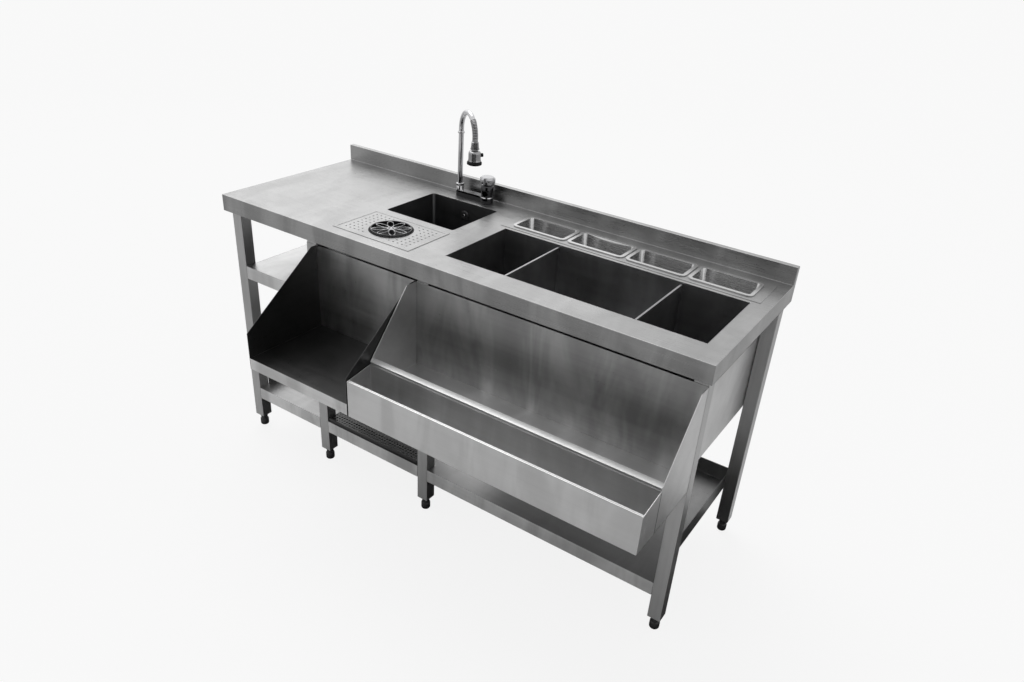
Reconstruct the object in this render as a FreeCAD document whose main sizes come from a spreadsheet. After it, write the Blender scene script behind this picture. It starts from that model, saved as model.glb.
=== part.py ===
import FreeCAD, Part
import math
import os
import re
import Sketcher

# Cocktail station: a steel bar worktop with a sink, a glass rinser, an ice bin
# with two bottle wells, a garnish rail and a tap, on eight tube legs, with a
# machine shelf and a two-tier bottle rail hung on its front.
# Millimetres. X runs along the front, Y goes to the back, Z is up from the floor.
# Places in the sheet are measured from the worktop's left front corner.

SIZES = {
    # Worktop
    "table_length": 1700,
    "table_depth": 600,
    "deck_height": 900,
    "sheet": 1.5,
    "apron_height": 54,
    "apron_return": 14,
    "upstand_height": 55,
    "upstand_width": 18,
    # Legs and feet
    "leg_size": 40,
    "leg_wall": 2,
    "leg_end_inset": 12,
    "leg_front_inset": 23,
    "leg_back_inset": 13,
    "second_leg": 357,
    "third_leg": 800,
    "foot_height": 46,
    "foot_radius": 15,
    "foot_neck_radius": 11.5,
    "foot_pad_height": 5,
    "foot_cone_height": 12,
    "plug_height": 15,
    "stem_radius": 5,
    "stem_length": 25,
    # Shelves between the legs
    "shelf_height": 174,
    "shelf_lip": 45,
    "shelf_upstand": 55,
    "mid_shelf_height": 656,
    "grid_height": 14,
    "grid_hole": 12,
    "grid_columns": 10,
    "grid_rows": 8,
    "grid_margin": 24,
    # Sink
    "sink_left": 472,
    "sink_width": 267,
    "sink_front": 260,
    "sink_back_inset": 103,
    "bowl_depth": 180,
    "bowl_corner": 8,
    "waste_radius": 26,
    "waste_flange_radius": 36,
    "waste_lip": 2,
    "waste_wall": 4,
    "waste_funnel": 10,
    "waste_tail_radius": 20,
    "waste_tail_length": 60,
    "waste_nut_length": 28.5,
    "overflow_drop": 47,
    "overflow_radius": 11,
    "overflow_spigot": 25,
    "overflow_cap_radius": 16,
    "overflow_cap_depth": 4,
    "overflow_cap_slope": 1,
    "overflow_dimple": 5,
    # Glass rinser in its drip tray
    "tray_left": 454,
    "tray_width": 297,
    "tray_front": 40,
    "tray_length": 191,
    "tray_rim": 8,
    "tray_depth": 26,
    "plate_hole_radius": 2.6,
    "plate_hole_pitch": 17,
    "plate_columns": 15,
    "plate_rows": 9,
    "plate_bare_band": 13,
    "dish_radius": 67.5,
    "dish_wall": 3,
    "dish_rim_height": 2,
    "dish_floor_drop": 7,
    "dish_slope": 20,
    "dish_base": 5,
    "grate_rise": 7,
    "grate_thickness": 5,
    "grate_gap": 1,
    "rinser_inlet_radius": 10,
    "rinser_tail_radius": 8,
    "rinser_tail_length": 35,
    "rinser_nut_height": 12,
    "spoke_width": 3.2,
    "hub_width": 7,
    "ring_width": 5,
    "middle_ring_radius": 37,
    "middle_ring_width": 3,
    "nozzle_radius": 5.5,
    "nozzle_slope": 3,
    # Ice bin and bottle wells
    "ice_left": 848,
    "ice_right_inset": 58,
    "ice_front": 90,
    "ice_to_frame": 13,
    "ice_depth": 280,
    "well_width": 197,
    "hem_width": 6,
    "hem_height": 12,
    "hem_drop": 18,
    "false_bottom_height": 16,
    "rack_hole_radius": 6,
    "rack_hole_pitch_x": 60,
    "rack_hole_pitch_y": 72,
    "rack_clearance": 10,
    "rack_margin_x": 38,
    "rack_margin_y": 30,
    "drain_radius": 20,
    "drain_flange_radius": 32,
    "drain_flange_height": 2,
    "drain_wall": 3,
    "drain_tail_length": 28,
    "drain_tail_radius": 18,
    "casing_height": 411.5,
    "casing_front": 66,
    "casing_back_inset": 20,
    # Garnish rail
    "frame_left": 820,
    "frame_right_inset": 34,
    "frame_back_inset": 57,
    "frame_length": 143,
    "frame_overhang_x": 30,
    "frame_overhang_y": 8,
    "frame_skirt": 12,
    "frame_end_margin": 27,
    "pan_spacing": 6,
    "pan_length": 112,
    "pan_flange": 8,
    "pan_rim": 3,
    "pan_corner": 18,
    "pan_depth": 65,
    "pan_taper": 7,
    # Tap
    "tap_x": 546,
    "tap_back_inset": 55,
    "valve_spacing": 114,
    "tap_body_height": 20,
    "tap_body_width": 26,
    "socket_radius": 13,
    "socket_height": 14,
    "spout_radius": 8.5,
    "spout_depth": 10,
    "spout_reach": 130,
    "nut_radius": 14,
    "nut_height": 8,
    "collar_rise": 210,
    "collar_width": 7,
    "collar_radius": 11,
    "arch_rise": 225,
    "spout_turn": 33,
    "flex_angle": 50,
    "flex_rise": 192,
    "head_pin_radius": 5,
    "head_pin_length": 8,
    "head_height": 38,
    "head_radius": 20,
    "head_neck_radius": 9.5,
    "head_neck_height": 4,
    "head_shoulder": 7,
    "head_shoulder_radius": 18,
    "head_foot_radius": 21.5,
    "head_flare_height": 6,
    "head_rim_radius": 24,
    "head_rim_height": 12,
    "rim_slope": 4,
    "rim_recess": 3,
    "button_radius": 6,
    "button_drop": 20,
    "button_stand_out": 8,
    "button_travel": 3,
    "button_bore": 7,
    "shank_radius": 10,
    "shank_length": 30,
    "inlet_radius": 8,
    "inlet_length": 30,
    "valve_radius": 21,
    "valve_height": 62,
    "valve_rim": 1,
    "valve_rim_height": 2,
    "valve_cone_height": 6,
    "valve_cone_width": 4,
    "spindle_radius": 6,
    "spindle_length": 13,
    "knob_radius": 26,
    "knob_height": 26,
    "knob_heel": 5,
    "knob_crown": 6,
    "scoop_radius": 10,
    "scoop_depth": 4,
    # Front unit: machine shelf and two-tier bottle rail
    "rail_reach": 265,
    "unit_drop": 18,
    "unit_height": 312,
    "bay_left": 397,
    "bay_width": 396,
    "bay_lip": 37,
    "bay_return": 10,
    "bay_wall_front": 119,
    "bay_wall_top": 21,
    "rail_gap": 3,
    "front_rail_height": 112,
    "tier_width": 93,
    "tier_rise": 14,
    "rear_step": 44,
    "rear_wall_height": 134,
    "rear_flange": 20,
    "rear_end_top": 41,
    # Clearances
    "running_fit": 0.05,
    "seat_gap": 0.3,
    "drop_in_gap": 0.5,
    "fit_gap": 2,
}

doc = FreeCAD.newDocument("cocktail_station")
sizes = doc.addObject("Spreadsheet::Sheet", "sizes")
for row, (name, value) in enumerate(SIZES.items(), 1):
    sizes.set("A%d" % row, name.replace("_", " "))
    sizes.set("B%d" % row, str(value))
    sizes.setAlias("B%d" % row, name)
doc.recompute()
pieces = []

# Places worked out from the sizes above, as formulas
UNDER_DECK = "(deck_height - sheet)"
APRON_BOTTOM = "(deck_height - apron_height)"
UPSTAND_TOP = "(deck_height + upstand_height)"
UPSTAND_FRONT = "(table_depth - upstand_width)"
LEG_BACK = "(table_depth - leg_back_inset - leg_size)"
LEG_RIGHT = "(table_length - leg_end_inset - leg_size)"
SHELF_LEFT = "(leg_end_inset + leg_size)"
SHELF_BACK = "(table_depth - leg_back_inset)"
SINK_RIGHT = "(sink_left + sink_width)"
SINK_BACK = "(table_depth - sink_back_inset)"
SINK_X = "(sink_left + sink_width / 2)"
SINK_Y = "((sink_front + table_depth - sink_back_inset) / 2)"
BOWL_FLOOR = "(deck_height - bowl_depth)"
TRAY_RIGHT = "(tray_left + tray_width)"
TRAY_BACK = "(tray_front + tray_length)"
TRAY_FLOOR = "(deck_height - tray_depth)"
RINSER_X = "(tray_left + tray_width / 2)"
RINSER_Y = "(tray_front + tray_length / 2)"
FRAME_RIGHT = "(table_length - frame_right_inset)"
FRAME_FRONT = "(table_depth - frame_back_inset - frame_length)"
FRAME_BACK = "(table_depth - frame_back_inset)"
FRAME_X = "((frame_left + table_length - frame_right_inset) / 2)"
FRAME_Y = "(table_depth - frame_back_inset - frame_length / 2)"
FRAME_TOP = "(deck_height + sheet)"
PAN_PITCH = "((table_length - frame_right_inset - frame_left - 2 * frame_end_margin) / 4)"
PAN_WIDTH = "(%s - pan_spacing)" % PAN_PITCH
ICE_RIGHT = "(table_length - ice_right_inset)"
ICE_BACK = "(%s - ice_to_frame)" % FRAME_FRONT
ICE_FLOOR = "(deck_height - ice_depth)"
ICE_Y = "((ice_front + %s) / 2)" % ICE_BACK
DIVIDER_LEFT = "(ice_left + well_width)"
DIVIDER_RIGHT = "(table_length - ice_right_inset - well_width)"
DRAIN_X = "((ice_left + table_length - ice_right_inset) / 2)"
CASING_BOTTOM = "(deck_height - sheet - casing_height)"
CASING_LEFT = "(third_leg + leg_size + fit_gap)"
CASING_RIGHT = "(table_length - leg_end_inset - leg_size - fit_gap)"
CASING_BACK = "(table_depth - casing_back_inset)"
TIER_SEAM = "(tier_width - rail_reach)"
BAY_RIGHT = "(bay_left + bay_width)"
RAIL_LEFT = "(bay_left + bay_width + rail_gap)"
RAIL_RIGHT = "(table_length - leg_end_inset)"
UNIT_BACK = "(leg_front_inset - sheet)"
UNIT_TOP = "(deck_height - apron_height - unit_drop)"
UNIT_BOTTOM = "(deck_height - apron_height - unit_drop - unit_height)"
TAP_Y = "(table_depth - tap_back_inset)"
COLLAR_BOTTOM = "(deck_height + collar_rise)"
ARCH_START = "(deck_height + arch_rise)"
FLEX_END = "(deck_height + flex_rise)"
VALVE_X = "(tap_x + valve_spacing)"
BODY_TOP = "(deck_height + tap_body_height)"
VALVE_SEAT = "(deck_height + tap_body_height + valve_rim_height)"
SPOUT_START = "(deck_height + tap_body_height + socket_height - spout_depth + seat_gap)"


def formula(text):
    """The text with each size name pointed at the sheet."""
    def point(word):
        return "sizes." + word.group(0) if word.group(0) in SIZES else word.group(0)
    return re.sub(r"[a-z]\w*", point, text)


def number(text):
    """What a formula comes to."""
    return float(probe.evalExpression(formula(text)))


def bind(item, field, text):
    item.setExpression(field, formula(text))


def place(item, x="0", y="0", z="0"):
    """Puts an item's own origin at a place measured from the worktop's corner."""
    bind(item, "Placement.Base.x", "%s - table_length / 2" % x)
    bind(item, "Placement.Base.y", "%s + (rail_reach - table_depth) / 2" % y)
    bind(item, "Placement.Base.z", z)


def keep(item, label):
    """Marks an item as one finished sub-part."""
    item.Label = label
    pieces.append(item)
    return item


probe = doc.addObject("Part::Box", "probe")


# ---- primitives and booleans -------------------------------------------------

def block(x0, x1, y0, y1, z0, z1):
    """A box between two corners."""
    box = doc.addObject("Part::Box", "block")
    bind(box, "Length", "%s - %s" % (x1, x0))
    bind(box, "Width", "%s - %s" % (y1, y0))
    bind(box, "Height", "%s - %s" % (z1, z0))
    place(box, x0, y0, z0)
    return box


def rod(x, y, z0, z1, radius):
    """An upright round rod."""
    cylinder = doc.addObject("Part::Cylinder", "rod")
    bind(cylinder, "Radius", radius)
    bind(cylinder, "Height", "%s - %s" % (z1, z0))
    place(cylinder, x, y, z0)
    return cylinder


def join(items):
    fuse = doc.addObject("Part::MultiFuse", "join")
    fuse.Shapes = items
    return fuse


def cut(base, tools):
    result = doc.addObject("Part::Cut", "cut")
    result.Base = base
    result.Tool = tools[0] if len(tools) == 1 else join(tools)
    return result


# ---- bodies made from sketches -----------------------------------------------

def new_body(name):
    return doc.addObject("PartDesign::Body", name)


def plane(body, role):
    for feature in body.Origin.OriginFeatures:
        if feature.Role == role:
            return feature
    raise ValueError(role)


def sketch_on(body, role, offset="0"):
    sketch = body.newObject("Sketcher::SketchObject", "sketch")
    sketch.AttachmentSupport = [(plane(body, role), "")]
    sketch.MapMode = "FlatFace"
    bind(sketch, "AttachmentOffset.Base.z", offset)
    return sketch


def fix_point(sketch, curve, end, x, y):
    """Holds one point of a curve at two bound distances from the origin."""
    for kind, axis, text in (("DistanceX", -2, x), ("DistanceY", -1, y)):
        if text == "0":
            sketch.addConstraint(Sketcher.Constraint("PointOnObject", curve, end, axis))
        else:
            held = Sketcher.Constraint(kind, -1, 1, curve, end, number(text))
            index = sketch.addConstraint(held)
            bind(sketch, "Constraints[%d]" % index, text)


def polygon(sketch, points):
    """A closed outline through bound points."""
    corners = [FreeCAD.Vector(number(x), number(y), 0) for x, y in points]
    count = len(corners)
    first = sketch.GeometryCount
    for i in range(count):
        line = Part.LineSegment(corners[i], corners[(i + 1) % count])
        sketch.addGeometry(line, False)
    for i in range(count):
        following = first + (i + 1) % count
        sketch.addConstraint(Sketcher.Constraint("Coincident", first + i, 2, following, 1))
    for i in range(count):
        fix_point(sketch, first + i, 1, points[i][0], points[i][1])


def rectangle(sketch, x0, x1, y0, y1):
    polygon(sketch, [(x0, y0), (x1, y0), (x1, y1), (x0, y1)])


def circle(sketch, x, y, radius):
    centre = FreeCAD.Vector(number(x), number(y), 0)
    ring = Part.Circle(centre, FreeCAD.Vector(0, 0, 1), number(radius))
    index = sketch.addGeometry(ring, False)
    held = sketch.addConstraint(Sketcher.Constraint("Radius", index, number(radius)))
    bind(sketch, "Constraints[%d]" % held, radius)
    fix_point(sketch, index, 3, x, y)


def octagon(sketch, x, y, radius):
    """A small punched hole: eight corners about a point."""
    turns = [22.5 + 45 * i for i in range(8)]
    polygon(sketch, [("%s + %s * cos(%s deg)" % (x, radius, turn),
                      "%s + %s * sin(%s deg)" % (y, radius, turn)) for turn in turns])


def rounded(sketch, x0, x1, y0, y1, radius):
    """A rectangle with round corners: four sides and four quarter arcs."""
    left, right, low, high, r = [number(t) for t in (x0, x1, y0, y1, radius)]
    up = FreeCAD.Vector(0, 0, 1)
    quarter = math.pi / 2
    sides = [((left + r, low), (right - r, low)), ((right, low + r), (right, high - r)),
             ((right - r, high), (left + r, high)), ((left, high - r), (left, low + r))]
    centres = [(right - r, low + r), (right - r, high - r), (left + r, high - r), (left + r, low + r)]
    for i in range(4):
        start, end = sides[i]
        line = Part.LineSegment(FreeCAD.Vector(*start, 0), FreeCAD.Vector(*end, 0))
        sketch.addGeometry(line, False)
        ring = Part.Circle(FreeCAD.Vector(*centres[i], 0), up, r)
        sketch.addGeometry(Part.ArcOfCircle(ring, (i - 1) * quarter, i * quarter), False)
    for i in range(8):
        sketch.addConstraint(Sketcher.Constraint("Tangent", i, 2, (i + 1) % 8, 1))
    for i, kind in ((0, "Horizontal"), (2, "Vertical"), (4, "Horizontal"), (6, "Vertical")):
        sketch.addConstraint(Sketcher.Constraint(kind, i))
    for i in (3, 5, 7):
        sketch.addConstraint(Sketcher.Constraint("Equal", 1, i))
    held = sketch.addConstraint(Sketcher.Constraint("Radius", 1, r))
    bind(sketch, "Constraints[%d]" % held, radius)
    for kind, side, text in (("DistanceY", 0, y0), ("DistanceX", 2, x1),
                             ("DistanceY", 4, y1), ("DistanceX", 6, x0)):
        held = sketch.addConstraint(Sketcher.Constraint(kind, -1, 1, side, 1, number(text)))
        bind(sketch, "Constraints[%d]" % held, text)


def pad(body, sketch, length, reverse=False):
    feature = body.newObject("PartDesign::Pad", "pad")
    feature.Profile = sketch
    feature.Reversed = reverse
    bind(feature, "Length", length)
    return feature


def pocket(body, sketch, length, reverse=False):
    feature = body.newObject("PartDesign::Pocket", "pocket")
    feature.Profile = sketch
    feature.Reversed = reverse
    bind(feature, "Length", length)
    return feature


def turned_body(label, points):
    """A turned piece: an outline of radius and height spun about its own upright axis."""
    body = new_body(label)
    sketch = sketch_on(body, "XZ_Plane")
    polygon(sketch, points)
    turned = body.newObject("PartDesign::Revolution", "revolution")
    turned.Profile = sketch
    turned.ReferenceAxis = (sketch, ["V_Axis"])
    turned.Angle = 360
    return body


def revolve(label, points, x, y, z):
    """A turned piece that is whole, set down at its place."""
    body = turned_body(label, points)
    place(body, x, y, z)
    return keep(body, label)


def profile(label, points, x0, x1):
    """A folded sheet: its side view drawn in Y and Z, drawn out along X."""
    body = new_body(label)
    sketch = sketch_on(body, "YZ_Plane", x0)
    polygon(sketch, points)
    pad(body, sketch, "%s - %s" % (x1, x0))
    place(body)
    return keep(body, label)


def grid_of(body, first, sketch, step_x, count_x, step_y, count_y):
    """Repeats one pocket in rows and columns."""
    pattern = body.newObject("PartDesign::MultiTransform", "grid")
    pattern.Originals = [first]
    rows = []
    for axis, step, count in (("H_Axis", step_x, count_x), ("V_Axis", step_y, count_y)):
        line = body.newObject("PartDesign::LinearPattern", "line")
        line.Direction = (sketch, [axis])
        bind(line, "Occurrences", count)
        bind(line, "Length", "%s * (%s - 1)" % (step, count))
        rows.append(line)
    pattern.Transformations = rows
    body.Tip = pattern


def ring_of(body, first, sketch, count):
    """Repeats one feature round the sketch's own axis."""
    pattern = body.newObject("PartDesign::PolarPattern", "ring")
    pattern.Originals = [first]
    pattern.Axis = (sketch, ["N_Axis"])
    pattern.Angle = 360
    pattern.Occurrences = count
    body.Tip = pattern


# ---- worktop -----------------------------------------------------------------

def make_worktop():
    """One folded sheet: front apron, deck, box upstand and back apron."""
    body = new_body("worktop")
    side = sketch_on(body, "YZ_Plane")
    inner_front = "%s + sheet" % UPSTAND_FRONT
    polygon(side, [
        ("0", APRON_BOTTOM),
        ("0", "deck_height"),
        (UPSTAND_FRONT, "deck_height"),
        (UPSTAND_FRONT, UPSTAND_TOP),
        ("table_depth", UPSTAND_TOP),
        ("table_depth", APRON_BOTTOM),
        ("table_depth - sheet", APRON_BOTTOM),
        ("table_depth - sheet", "%s - sheet" % UPSTAND_TOP),
        (inner_front, "%s - sheet" % UPSTAND_TOP),
        (inner_front, UNDER_DECK),
        ("sheet", UNDER_DECK),
        ("sheet", "%s + sheet" % APRON_BOTTOM),
        ("apron_return", "%s + sheet" % APRON_BOTTOM),
        ("apron_return", APRON_BOTTOM)])
    pad(body, side, "table_length")
    for start in ("0", "table_length - sheet"):
        end = sketch_on(body, "YZ_Plane", start)
        polygon(end, [
            ("0", APRON_BOTTOM),
            ("0", "deck_height"),
            (UPSTAND_FRONT, "deck_height"),
            (UPSTAND_FRONT, UPSTAND_TOP),
            ("table_depth", UPSTAND_TOP),
            ("table_depth", APRON_BOTTOM)])
        pad(body, end, "sheet")
    holes = sketch_on(body, "XY_Plane", "deck_height")
    rectangle(holes, "ice_left", ICE_RIGHT, "ice_front", ICE_BACK)
    rectangle(holes, "tray_left + tray_rim", "%s - tray_rim" % TRAY_RIGHT,
              "tray_front + tray_rim", "%s - tray_rim" % TRAY_BACK)
    rectangle(holes, "frame_left + frame_overhang_x", "%s - frame_overhang_x" % FRAME_RIGHT,
              "%s + frame_overhang_y" % FRAME_FRONT, "%s - frame_overhang_y" % FRAME_BACK)
    for x in ("tap_x", VALVE_X):
        circle(holes, x, TAP_Y, "shank_radius + drop_in_gap")
    pocket(body, holes, "2 * sheet")
    bowl_hole = sketch_on(body, "XY_Plane", "deck_height")
    rounded(bowl_hole, "sink_left", SINK_RIGHT, "sink_front", SINK_BACK, "bowl_corner")
    pocket(body, bowl_hole, "2 * sheet")
    place(body)
    keep(body, "worktop")


# ---- sink --------------------------------------------------------------------

def make_sink():
    """A welded bowl whose inner walls are flush with the hole in the deck."""
    body = new_body("sink_bowl")
    outer = sketch_on(body, "XY_Plane", "%s - sheet" % BOWL_FLOOR)
    rounded(outer, "sink_left - sheet", "%s + sheet" % SINK_RIGHT,
            "sink_front - sheet", "%s + sheet" % SINK_BACK, "bowl_corner + sheet")
    pad(body, outer, "bowl_depth")
    inner = sketch_on(body, "XY_Plane", "deck_height")
    rounded(inner, "sink_left", SINK_RIGHT, "sink_front", SINK_BACK, "bowl_corner")
    pocket(body, inner, "bowl_depth")
    waste = sketch_on(body, "XY_Plane", BOWL_FLOOR)
    circle(waste, SINK_X, SINK_Y, "waste_radius")
    pocket(body, waste, "2 * sheet")
    overflow = sketch_on(body, "XZ_Plane", "-%s" % SINK_BACK)
    circle(overflow, SINK_X, "deck_height - overflow_drop", "overflow_radius")
    pocket(body, overflow, "2 * sheet")
    place(body)
    keep(body, "sink_bowl")

    bore = "(waste_tail_radius - waste_wall)"
    revolve("sink_waste", [
        (bore, "-sheet - waste_tail_length"),
        ("waste_tail_radius", "-sheet - waste_tail_length"),
        ("waste_tail_radius", "-sheet - waste_nut_length"),
        ("waste_radius - seat_gap", "-sheet - waste_nut_length"),
        ("waste_radius - seat_gap", "0"),
        ("waste_flange_radius", "0"),
        ("waste_flange_radius - waste_lip", "waste_lip"),
        ("waste_radius - waste_lip / 2", "waste_lip"),
        ("waste_radius - waste_wall", "-waste_funnel"),
        (bore, "-waste_funnel")], SINK_X, SINK_Y, BOWL_FLOOR)

    cap = turned_body("overflow_cap", [
        ("0", "-overflow_spigot"),
        ("overflow_radius - seat_gap", "-overflow_spigot"),
        ("overflow_radius - seat_gap", "0"),
        ("overflow_cap_radius", "0"),
        ("overflow_cap_radius - overflow_cap_slope", "overflow_cap_depth - overflow_cap_slope"),
        ("overflow_dimple", "overflow_cap_depth"),
        ("overflow_dimple - overflow_cap_slope", "overflow_cap_slope"),
        ("0", "overflow_cap_slope")])
    cap.Placement = FreeCAD.Placement(FreeCAD.Vector(), FreeCAD.Rotation(FreeCAD.Vector(1, 0, 0), 90))
    place(cap, SINK_X, SINK_BACK, "deck_height - overflow_drop")
    keep(cap, "overflow_cap")


# ---- glass rinser ------------------------------------------------------------

def make_rinser():
    inner_x = ("(tray_left + tray_rim + drop_in_gap + sheet)",
               "(%s - tray_rim - drop_in_gap - sheet)" % TRAY_RIGHT)
    inner_y = ("(tray_front + tray_rim + drop_in_gap + sheet)",
               "(%s - tray_rim - drop_in_gap - sheet)" % TRAY_BACK)
    flange = block("tray_left", TRAY_RIGHT, "tray_front", TRAY_BACK, "deck_height", FRAME_TOP)
    basin = block("(%s - sheet)" % inner_x[0], "(%s + sheet)" % inner_x[1],
                  "(%s - sheet)" % inner_y[0], "(%s + sheet)" % inner_y[1],
                  "(%s - sheet)" % TRAY_FLOOR, "deck_height")
    hollow = block(inner_x[0], inner_x[1], inner_y[0], inner_y[1], TRAY_FLOOR, "(%s + 1)" % FRAME_TOP)
    inlet = rod(RINSER_X, RINSER_Y, "(%s - 3 * sheet)" % TRAY_FLOOR, "deck_height",
                "rinser_inlet_radius + drop_in_gap")
    keep(cut(join([flange, basin]), [hollow, inlet]), "rinser_tray")

    plate = new_body("rinser_plate")
    top = sketch_on(plate, "XY_Plane", TRAY_FLOOR)
    rectangle(top, "%s + drop_in_gap" % inner_x[0], "%s - drop_in_gap" % inner_x[1],
              "%s + drop_in_gap" % inner_y[0], "%s - drop_in_gap" % inner_y[1])
    pad(plate, top, "tray_depth + sheet / 2")
    under = sketch_on(plate, "XY_Plane", TRAY_FLOOR)
    skin = "(drop_in_gap + sheet)"
    rectangle(under, "%s + %s" % (inner_x[0], skin), "%s - %s" % (inner_x[1], skin),
              "%s + %s" % (inner_y[0], skin), "%s - %s" % (inner_y[1], skin))
    pocket(plate, under, "tray_depth - sheet / 2", True)
    holes = sketch_on(plate, "XY_Plane", FRAME_TOP)
    octagon(holes, "%s - (plate_columns - 1) / 2 * plate_hole_pitch" % RINSER_X,
            "%s - (plate_rows - 1) / 2 * plate_hole_pitch" % RINSER_Y, "plate_hole_radius")
    drilled = pocket(plate, holes, "3 * sheet")
    grid_of(plate, drilled, holes, "plate_hole_pitch", "plate_columns", "plate_hole_pitch", "plate_rows")
    bare = sketch_on(plate, "XY_Plane", "%s - sheet / 2" % FRAME_TOP)
    circle(bare, RINSER_X, RINSER_Y, "dish_radius + plate_bare_band")
    pad(plate, bare, "sheet", True)
    middle = sketch_on(plate, "XY_Plane", FRAME_TOP)
    circle(middle, RINSER_X, RINSER_Y, "dish_radius + drop_in_gap")
    pocket(plate, middle, "tray_depth")
    place(plate)
    keep(plate, "rinser_plate")

    dish_floor = "-dish_floor_drop"
    seat = "-tray_depth"
    revolve("rinser_body", [
        ("0", "%s - rinser_nut_height - rinser_tail_length" % seat),
        ("rinser_tail_radius", "%s - rinser_nut_height - rinser_tail_length" % seat),
        ("rinser_tail_radius", "%s - rinser_nut_height" % seat),
        ("rinser_inlet_radius", "%s - rinser_nut_height" % seat),
        ("rinser_inlet_radius", seat),
        ("dish_radius - dish_slope", seat),
        ("dish_radius", "%s - dish_wall - dish_base" % dish_floor),
        ("dish_radius", "dish_rim_height"),
        ("dish_radius - dish_wall", "dish_rim_height"),
        ("dish_radius - dish_wall", dish_floor),
        ("0", dish_floor)], RINSER_X, RINSER_Y, "deck_height")
    revolve("rinser_nozzle", [
        ("0", dish_floor),
        ("nozzle_radius", dish_floor),
        ("nozzle_radius", "grate_rise - nozzle_slope"),
        ("nozzle_radius - nozzle_slope", "grate_rise"),
        ("0", "grate_rise")], RINSER_X, RINSER_Y, "deck_height")

    grate = new_body("rinser_grate")
    low = "grate_rise - grate_thickness"
    hub = sketch_on(grate, "XY_Plane", low)
    circle(hub, "0", "0", "nozzle_radius + hub_width")
    pad(grate, hub, "grate_thickness")
    ring = sketch_on(grate, "XY_Plane", low)
    ring_radius = "(dish_radius - dish_wall - grate_gap)"
    circle(ring, "0", "0", ring_radius)
    circle(ring, "0", "0", "%s - ring_width" % ring_radius)
    middle_ring = sketch_on(grate, "XY_Plane", low)
    circle(middle_ring, "0", "0", "middle_ring_radius")
    circle(middle_ring, "0", "0", "middle_ring_radius - middle_ring_width")
    spoke = sketch_on(grate, "XY_Plane", low)
    rectangle(spoke, "-spoke_width / 2", "spoke_width / 2", "nozzle_radius + hub_width / 2",
              "%s - ring_width / 2" % ring_radius)
    arm = pad(grate, spoke, "grate_thickness")
    ring_of(grate, arm, spoke, 8)
    pad(grate, ring, "grate_thickness")
    pad(grate, middle_ring, "grate_thickness - grate_gap")
    bore = sketch_on(grate, "XY_Plane", "grate_rise")
    circle(bore, "0", "0", "nozzle_radius + seat_gap")
    pocket(grate, bore, "2 * grate_thickness")
    place(grate, RINSER_X, RINSER_Y, "deck_height")
    keep(grate, "rinser_grate")


# ---- tap ---------------------------------------------------------------------

def make_tap_body():
    """The horizontal bar with the spout's socket and the two mounting shanks."""
    bar = block("tap_x", VALVE_X, "(%s - tap_body_width / 2)" % TAP_Y, "(%s + tap_body_width / 2)" % TAP_Y,
                "deck_height", BODY_TOP)
    end = rod("tap_x", TAP_Y, "deck_height", BODY_TOP, "tap_body_width / 2")
    socket = rod("tap_x", TAP_Y, BODY_TOP, "(%s + socket_height)" % BODY_TOP, "socket_radius")
    column = rod(VALVE_X, TAP_Y, "deck_height", VALVE_SEAT, "valve_radius + valve_rim")
    shank_end = "(%s - shank_length)" % UNDER_DECK
    shanks = [rod(x, TAP_Y, shank_end, "deck_height", "shank_radius") for x in ("tap_x", VALVE_X)]
    shanks += [rod(x, TAP_Y, "(%s - inlet_length)" % shank_end, shank_end, "inlet_radius")
               for x in ("tap_x", VALVE_X)]
    bore = rod("tap_x", TAP_Y, "(%s - seat_gap)" % SPOUT_START, "(%s + 2 * socket_height)" % BODY_TOP,
               "spout_radius + running_fit")
    keep(cut(join([bar, end, socket, column] + shanks), [bore]), "tap_body")

    valve_top = "(deck_height + valve_height - %s)" % VALVE_SEAT
    revolve("tap_valve", [
        ("0", "0"),
        ("valve_radius", "0"),
        ("valve_radius", "%s - valve_cone_height" % valve_top),
        ("valve_radius - valve_cone_width", valve_top),
        ("spindle_radius", valve_top),
        ("spindle_radius", "%s + spindle_length" % valve_top),
        ("0", "%s + spindle_length" % valve_top)], VALVE_X, TAP_Y, VALVE_SEAT)

    knob = turned_body("tap_knob", [
        ("spindle_radius + running_fit", "0"),
        ("knob_radius - knob_heel", "0"),
        ("knob_radius", "knob_heel"),
        ("knob_radius", "knob_height - knob_crown"),
        ("knob_radius - knob_crown", "knob_height"),
        ("0", "knob_height"),
        ("0", "spindle_length + seat_gap"),
        ("spindle_radius + running_fit", "spindle_length + seat_gap")])
    grip = sketch_on(knob, "XY_Plane", "knob_height")
    circle(grip, "knob_radius + scoop_radius - scoop_depth", "0", "scoop_radius")
    scoop = pocket(knob, grip, "2 * knob_height")
    ring_of(knob, scoop, grip, 5)
    place(knob, VALVE_X, TAP_Y, "deck_height + valve_height + seat_gap")
    keep(knob, "tap_knob")


def turn_with_spout(item):
    """Stands a piece drawn on the spout's own axes at the tap, turned to its rest."""
    item.Placement = FreeCAD.Placement(FreeCAD.Vector(), FreeCAD.Rotation(FreeCAD.Vector(0, 0, -1), 1))
    bind(item, "Placement.Rotation.Angle", "spout_turn * 1 deg")
    place(item, "tap_x", TAP_Y, "0")


def path_of(body, start_angle, end_angle, tail_low, tail_high, tail_x):
    """A path on the arch: one arc of it and one upright line that meets its end."""
    path = sketch_on(body, "XZ_Plane")
    radius = "spout_reach / 2"
    centre = FreeCAD.Vector(number(radius), number(ARCH_START), 0)
    ring = Part.Circle(centre, FreeCAD.Vector(0, 0, 1), number(radius))
    arc = Part.ArcOfCircle(ring, math.radians(number(start_angle)), math.radians(number(end_angle)))
    path.addGeometry(arc, False)
    x = number(tail_x)
    low = FreeCAD.Vector(x, number(tail_low), 0)
    high = FreeCAD.Vector(x, number(tail_high), 0)
    path.addGeometry(Part.LineSegment(low, high), False)
    return path, radius


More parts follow.
